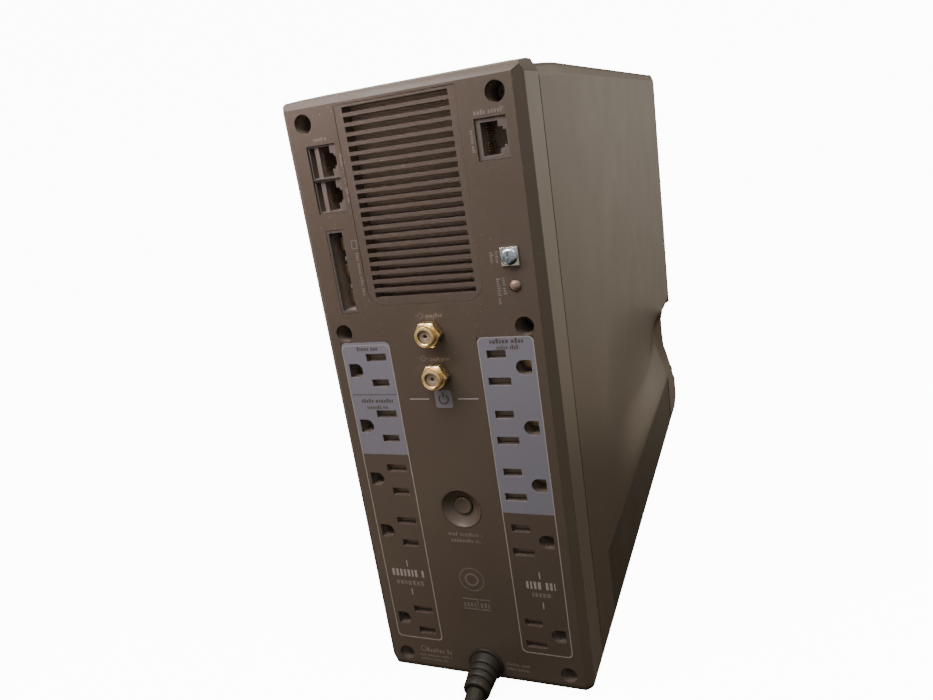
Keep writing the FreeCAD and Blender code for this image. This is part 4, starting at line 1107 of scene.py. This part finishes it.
def panel_captions():
    """Faint captions beside the sockets, the breaker and the lead."""
    bm = bmesh.new()
    for start, length, height in (
            ((42.4, 56.2), 16.1, 3.4), ((-31.1, 56.8), 10.0, 3.0), ((1.0, 197.8), 8.0, 1.9),
            ((2.1, 177.5), 9.6, 1.9), ((8.0, 87.4), 17.3, 2.1), ((7.0, 83.9), 15.4, 2.1),
            ((32.0, 15.4), 14.0, 2.7), ((36.9, 12.6), 18.9, 1.5), ((36.6, 10.2), 15.4, 1.4),
            ((-12.3, 14.0), 12.6, 1.8), ((-12.0, 11.2), 12.7, 1.6), ((-34.6, 279.3), 12.6, 2.0),
            ((40.8, 279.2), 6.8, 1.6)):
        caption(bm, start, length, height)
    for start, length, height in (
            ((-32.0, 273.9), 8.7, 1.5), ((-33.2, 224.6), 4.6, 1.6), ((-35.6, 224.8), 5.2, 1.6),
            ((-34.6, 213.3), 11.4, 1.6), ((-37.2, 213.3), 7.2, 1.6), ((30.4, 229.4), 20.0, 1.6),
            ((29.4, 272.8), 5.6, 1.4), ((29.4, 258.2), 6.6, 1.4)):
        caption(bm, start, length, height, 0.42, upright=True)
    for centre in ((3.5, 198.7), (5.6, 178.7)):
        ring_print(bm, centre, 1.15, 0.4)
    print_bar(bm, (4.0, 6.1), (198.5, 198.9))
    print_bar(bm, (2.8, 5.6), (178.5, 178.9))
    for low, high in ((28.7, 29.1), (31.4, 31.8)):
        print_bar(bm, (low, high), (231.2, 235.2))
    for low, high in ((231.2, 231.6), (234.8, 235.2)):
        print_bar(bm, (29.1, 31.4), (low, high))
    ring_print(bm, (29.0, 261.0), 0.8, 0.3, 20, 300)
    ring_print(bm, (-0.4, 62.9), 6.4, 0.45)
    ring_print(bm, (-0.4, 62.9), 3.2, 0.9)
    for low, high in ((-2.2, 6.2), (-8.3, -2.9)):
        print_bar(bm, (low, high), (45.4, 46.1))
        print_bar(bm, (low, high), (51.2, 51.9))
        caption(bm, (high - 0.3, 46.9), high - low - 0.6, 3.6, 0.3)
    ring_print(bm, (33.9, 17.2), 1.6, 0.5)
    finish_print("panel_captions", bm, FAINT_PRINT)


def label_marks():
    """Dark captions and the dividing line on the two labels."""
    bm = bmesh.new()
    caption(bm, (39.4, 183.3), 11.0, 1.9)
    caption(bm, (42.2, 157.2), 17.0, 2.0, 0.5)
    caption(bm, (39.7, 153.9), 11.3, 1.9, 0.3)
    print_bar(bm, (22.4, 46.6), (161.1, 161.45))
    caption(bm, (-27.6, 184.7), 16.2, 2.2, 0.5)
    caption(bm, (-30.6, 181.9), 10.2, 2.0, 0.3)
    finish_print("label_marks", bm, DARK_PRINT)


def middle_plate():
    """Light square plate with a plain ring and bar, the usual sign of a power key."""
    middle = (-1.3, 158.9)
    half = 4.3
    x, z = middle
    outline = rounded_rectangle((x - half, z - half), (x + half, z + half), 1.1, 5)
    bm = bmesh.new()
    add_prism(bm, outline, "xz", PRINT_FOOT, REAR + PRINT_LIFT)
    finish_print("middle_plate", bm, LABEL)
    bm = bmesh.new()
    ring_print(bm, middle, 2.3, 0.7, 125, 415, 2 * PRINT_LIFT)
    print_bar(bm, (x - 0.35, x + 0.35), (z + 0.7, z + 3.3), 2 * PRINT_LIFT)
    finish_print("middle_sign", bm, DARK_PRINT)


panel_lines()
panel_captions()
label_marks()
middle_plate()

# ---------------------------------------------------------------- carried-over pieces
CARRIED = [
    ("battery_cover", COVER, 0.35), ("rubber_feet", RUBBER, 0.6), ("vent_grille", LOUVRE, 0.14),
    ("case_screws", SCREW, 0.15), ("outlet_strip_left", STRIP, 0.12), ("outlet_strip_right", STRIP, 0.12),
    ("outlet_contacts_left", BRASS, 0.1), ("outlet_contacts_right", BRASS, 0.1),
    ("outlet_shutters_left", STRIP, 0.1), ("outlet_shutters_right", STRIP, 0.1),
    ("label_plate_left", LABEL, 0.08), ("label_plate_right", LABEL, 0.08),
    ("dataline_jack_upper", JACK, 0.12), ("dataline_jack_lower", JACK, 0.12), ("data_port_jack", JACK, 0.12),
    ("jack_contacts", BRASS, 0.05), ("battery_port", JACK, 0.12), ("battery_port_blades", BRASS, 0.2),
    ("ground_washer", STEEL, 0.12), ("display_window", GLASS, 0.3), ("display_module", SCREEN, 0.3),
    ("power_button", KEY, 0.5), ("mute_button", KEY, 0.5), ("display_button", KEY, 0.5),
    ("front_board", BOARD, 0.1), ("inner_frame", FRAME, 0.3), ("battery_front", BATTERY, 1.2),
    ("battery_rear", BATTERY, 1.2), ("transformer_core", CORE, 0.5), ("transformer_winding", TAPE, 1.2),
    ("main_board", BOARD, 0.1), ("heat_sinks", SINK, 0.2), ("capacitors", SINK, 0.8),
    ("relays", RELAY, 0.6), ("buzzer", SOCKET, 0.6), ("fan_frame", SOCKET, 0.4), ("fan_rotor", SOCKET, 0.3),
]
for node_name, look, edge in CARRIED:
    refined(node_name, look, edge, merge=look is not JACK)
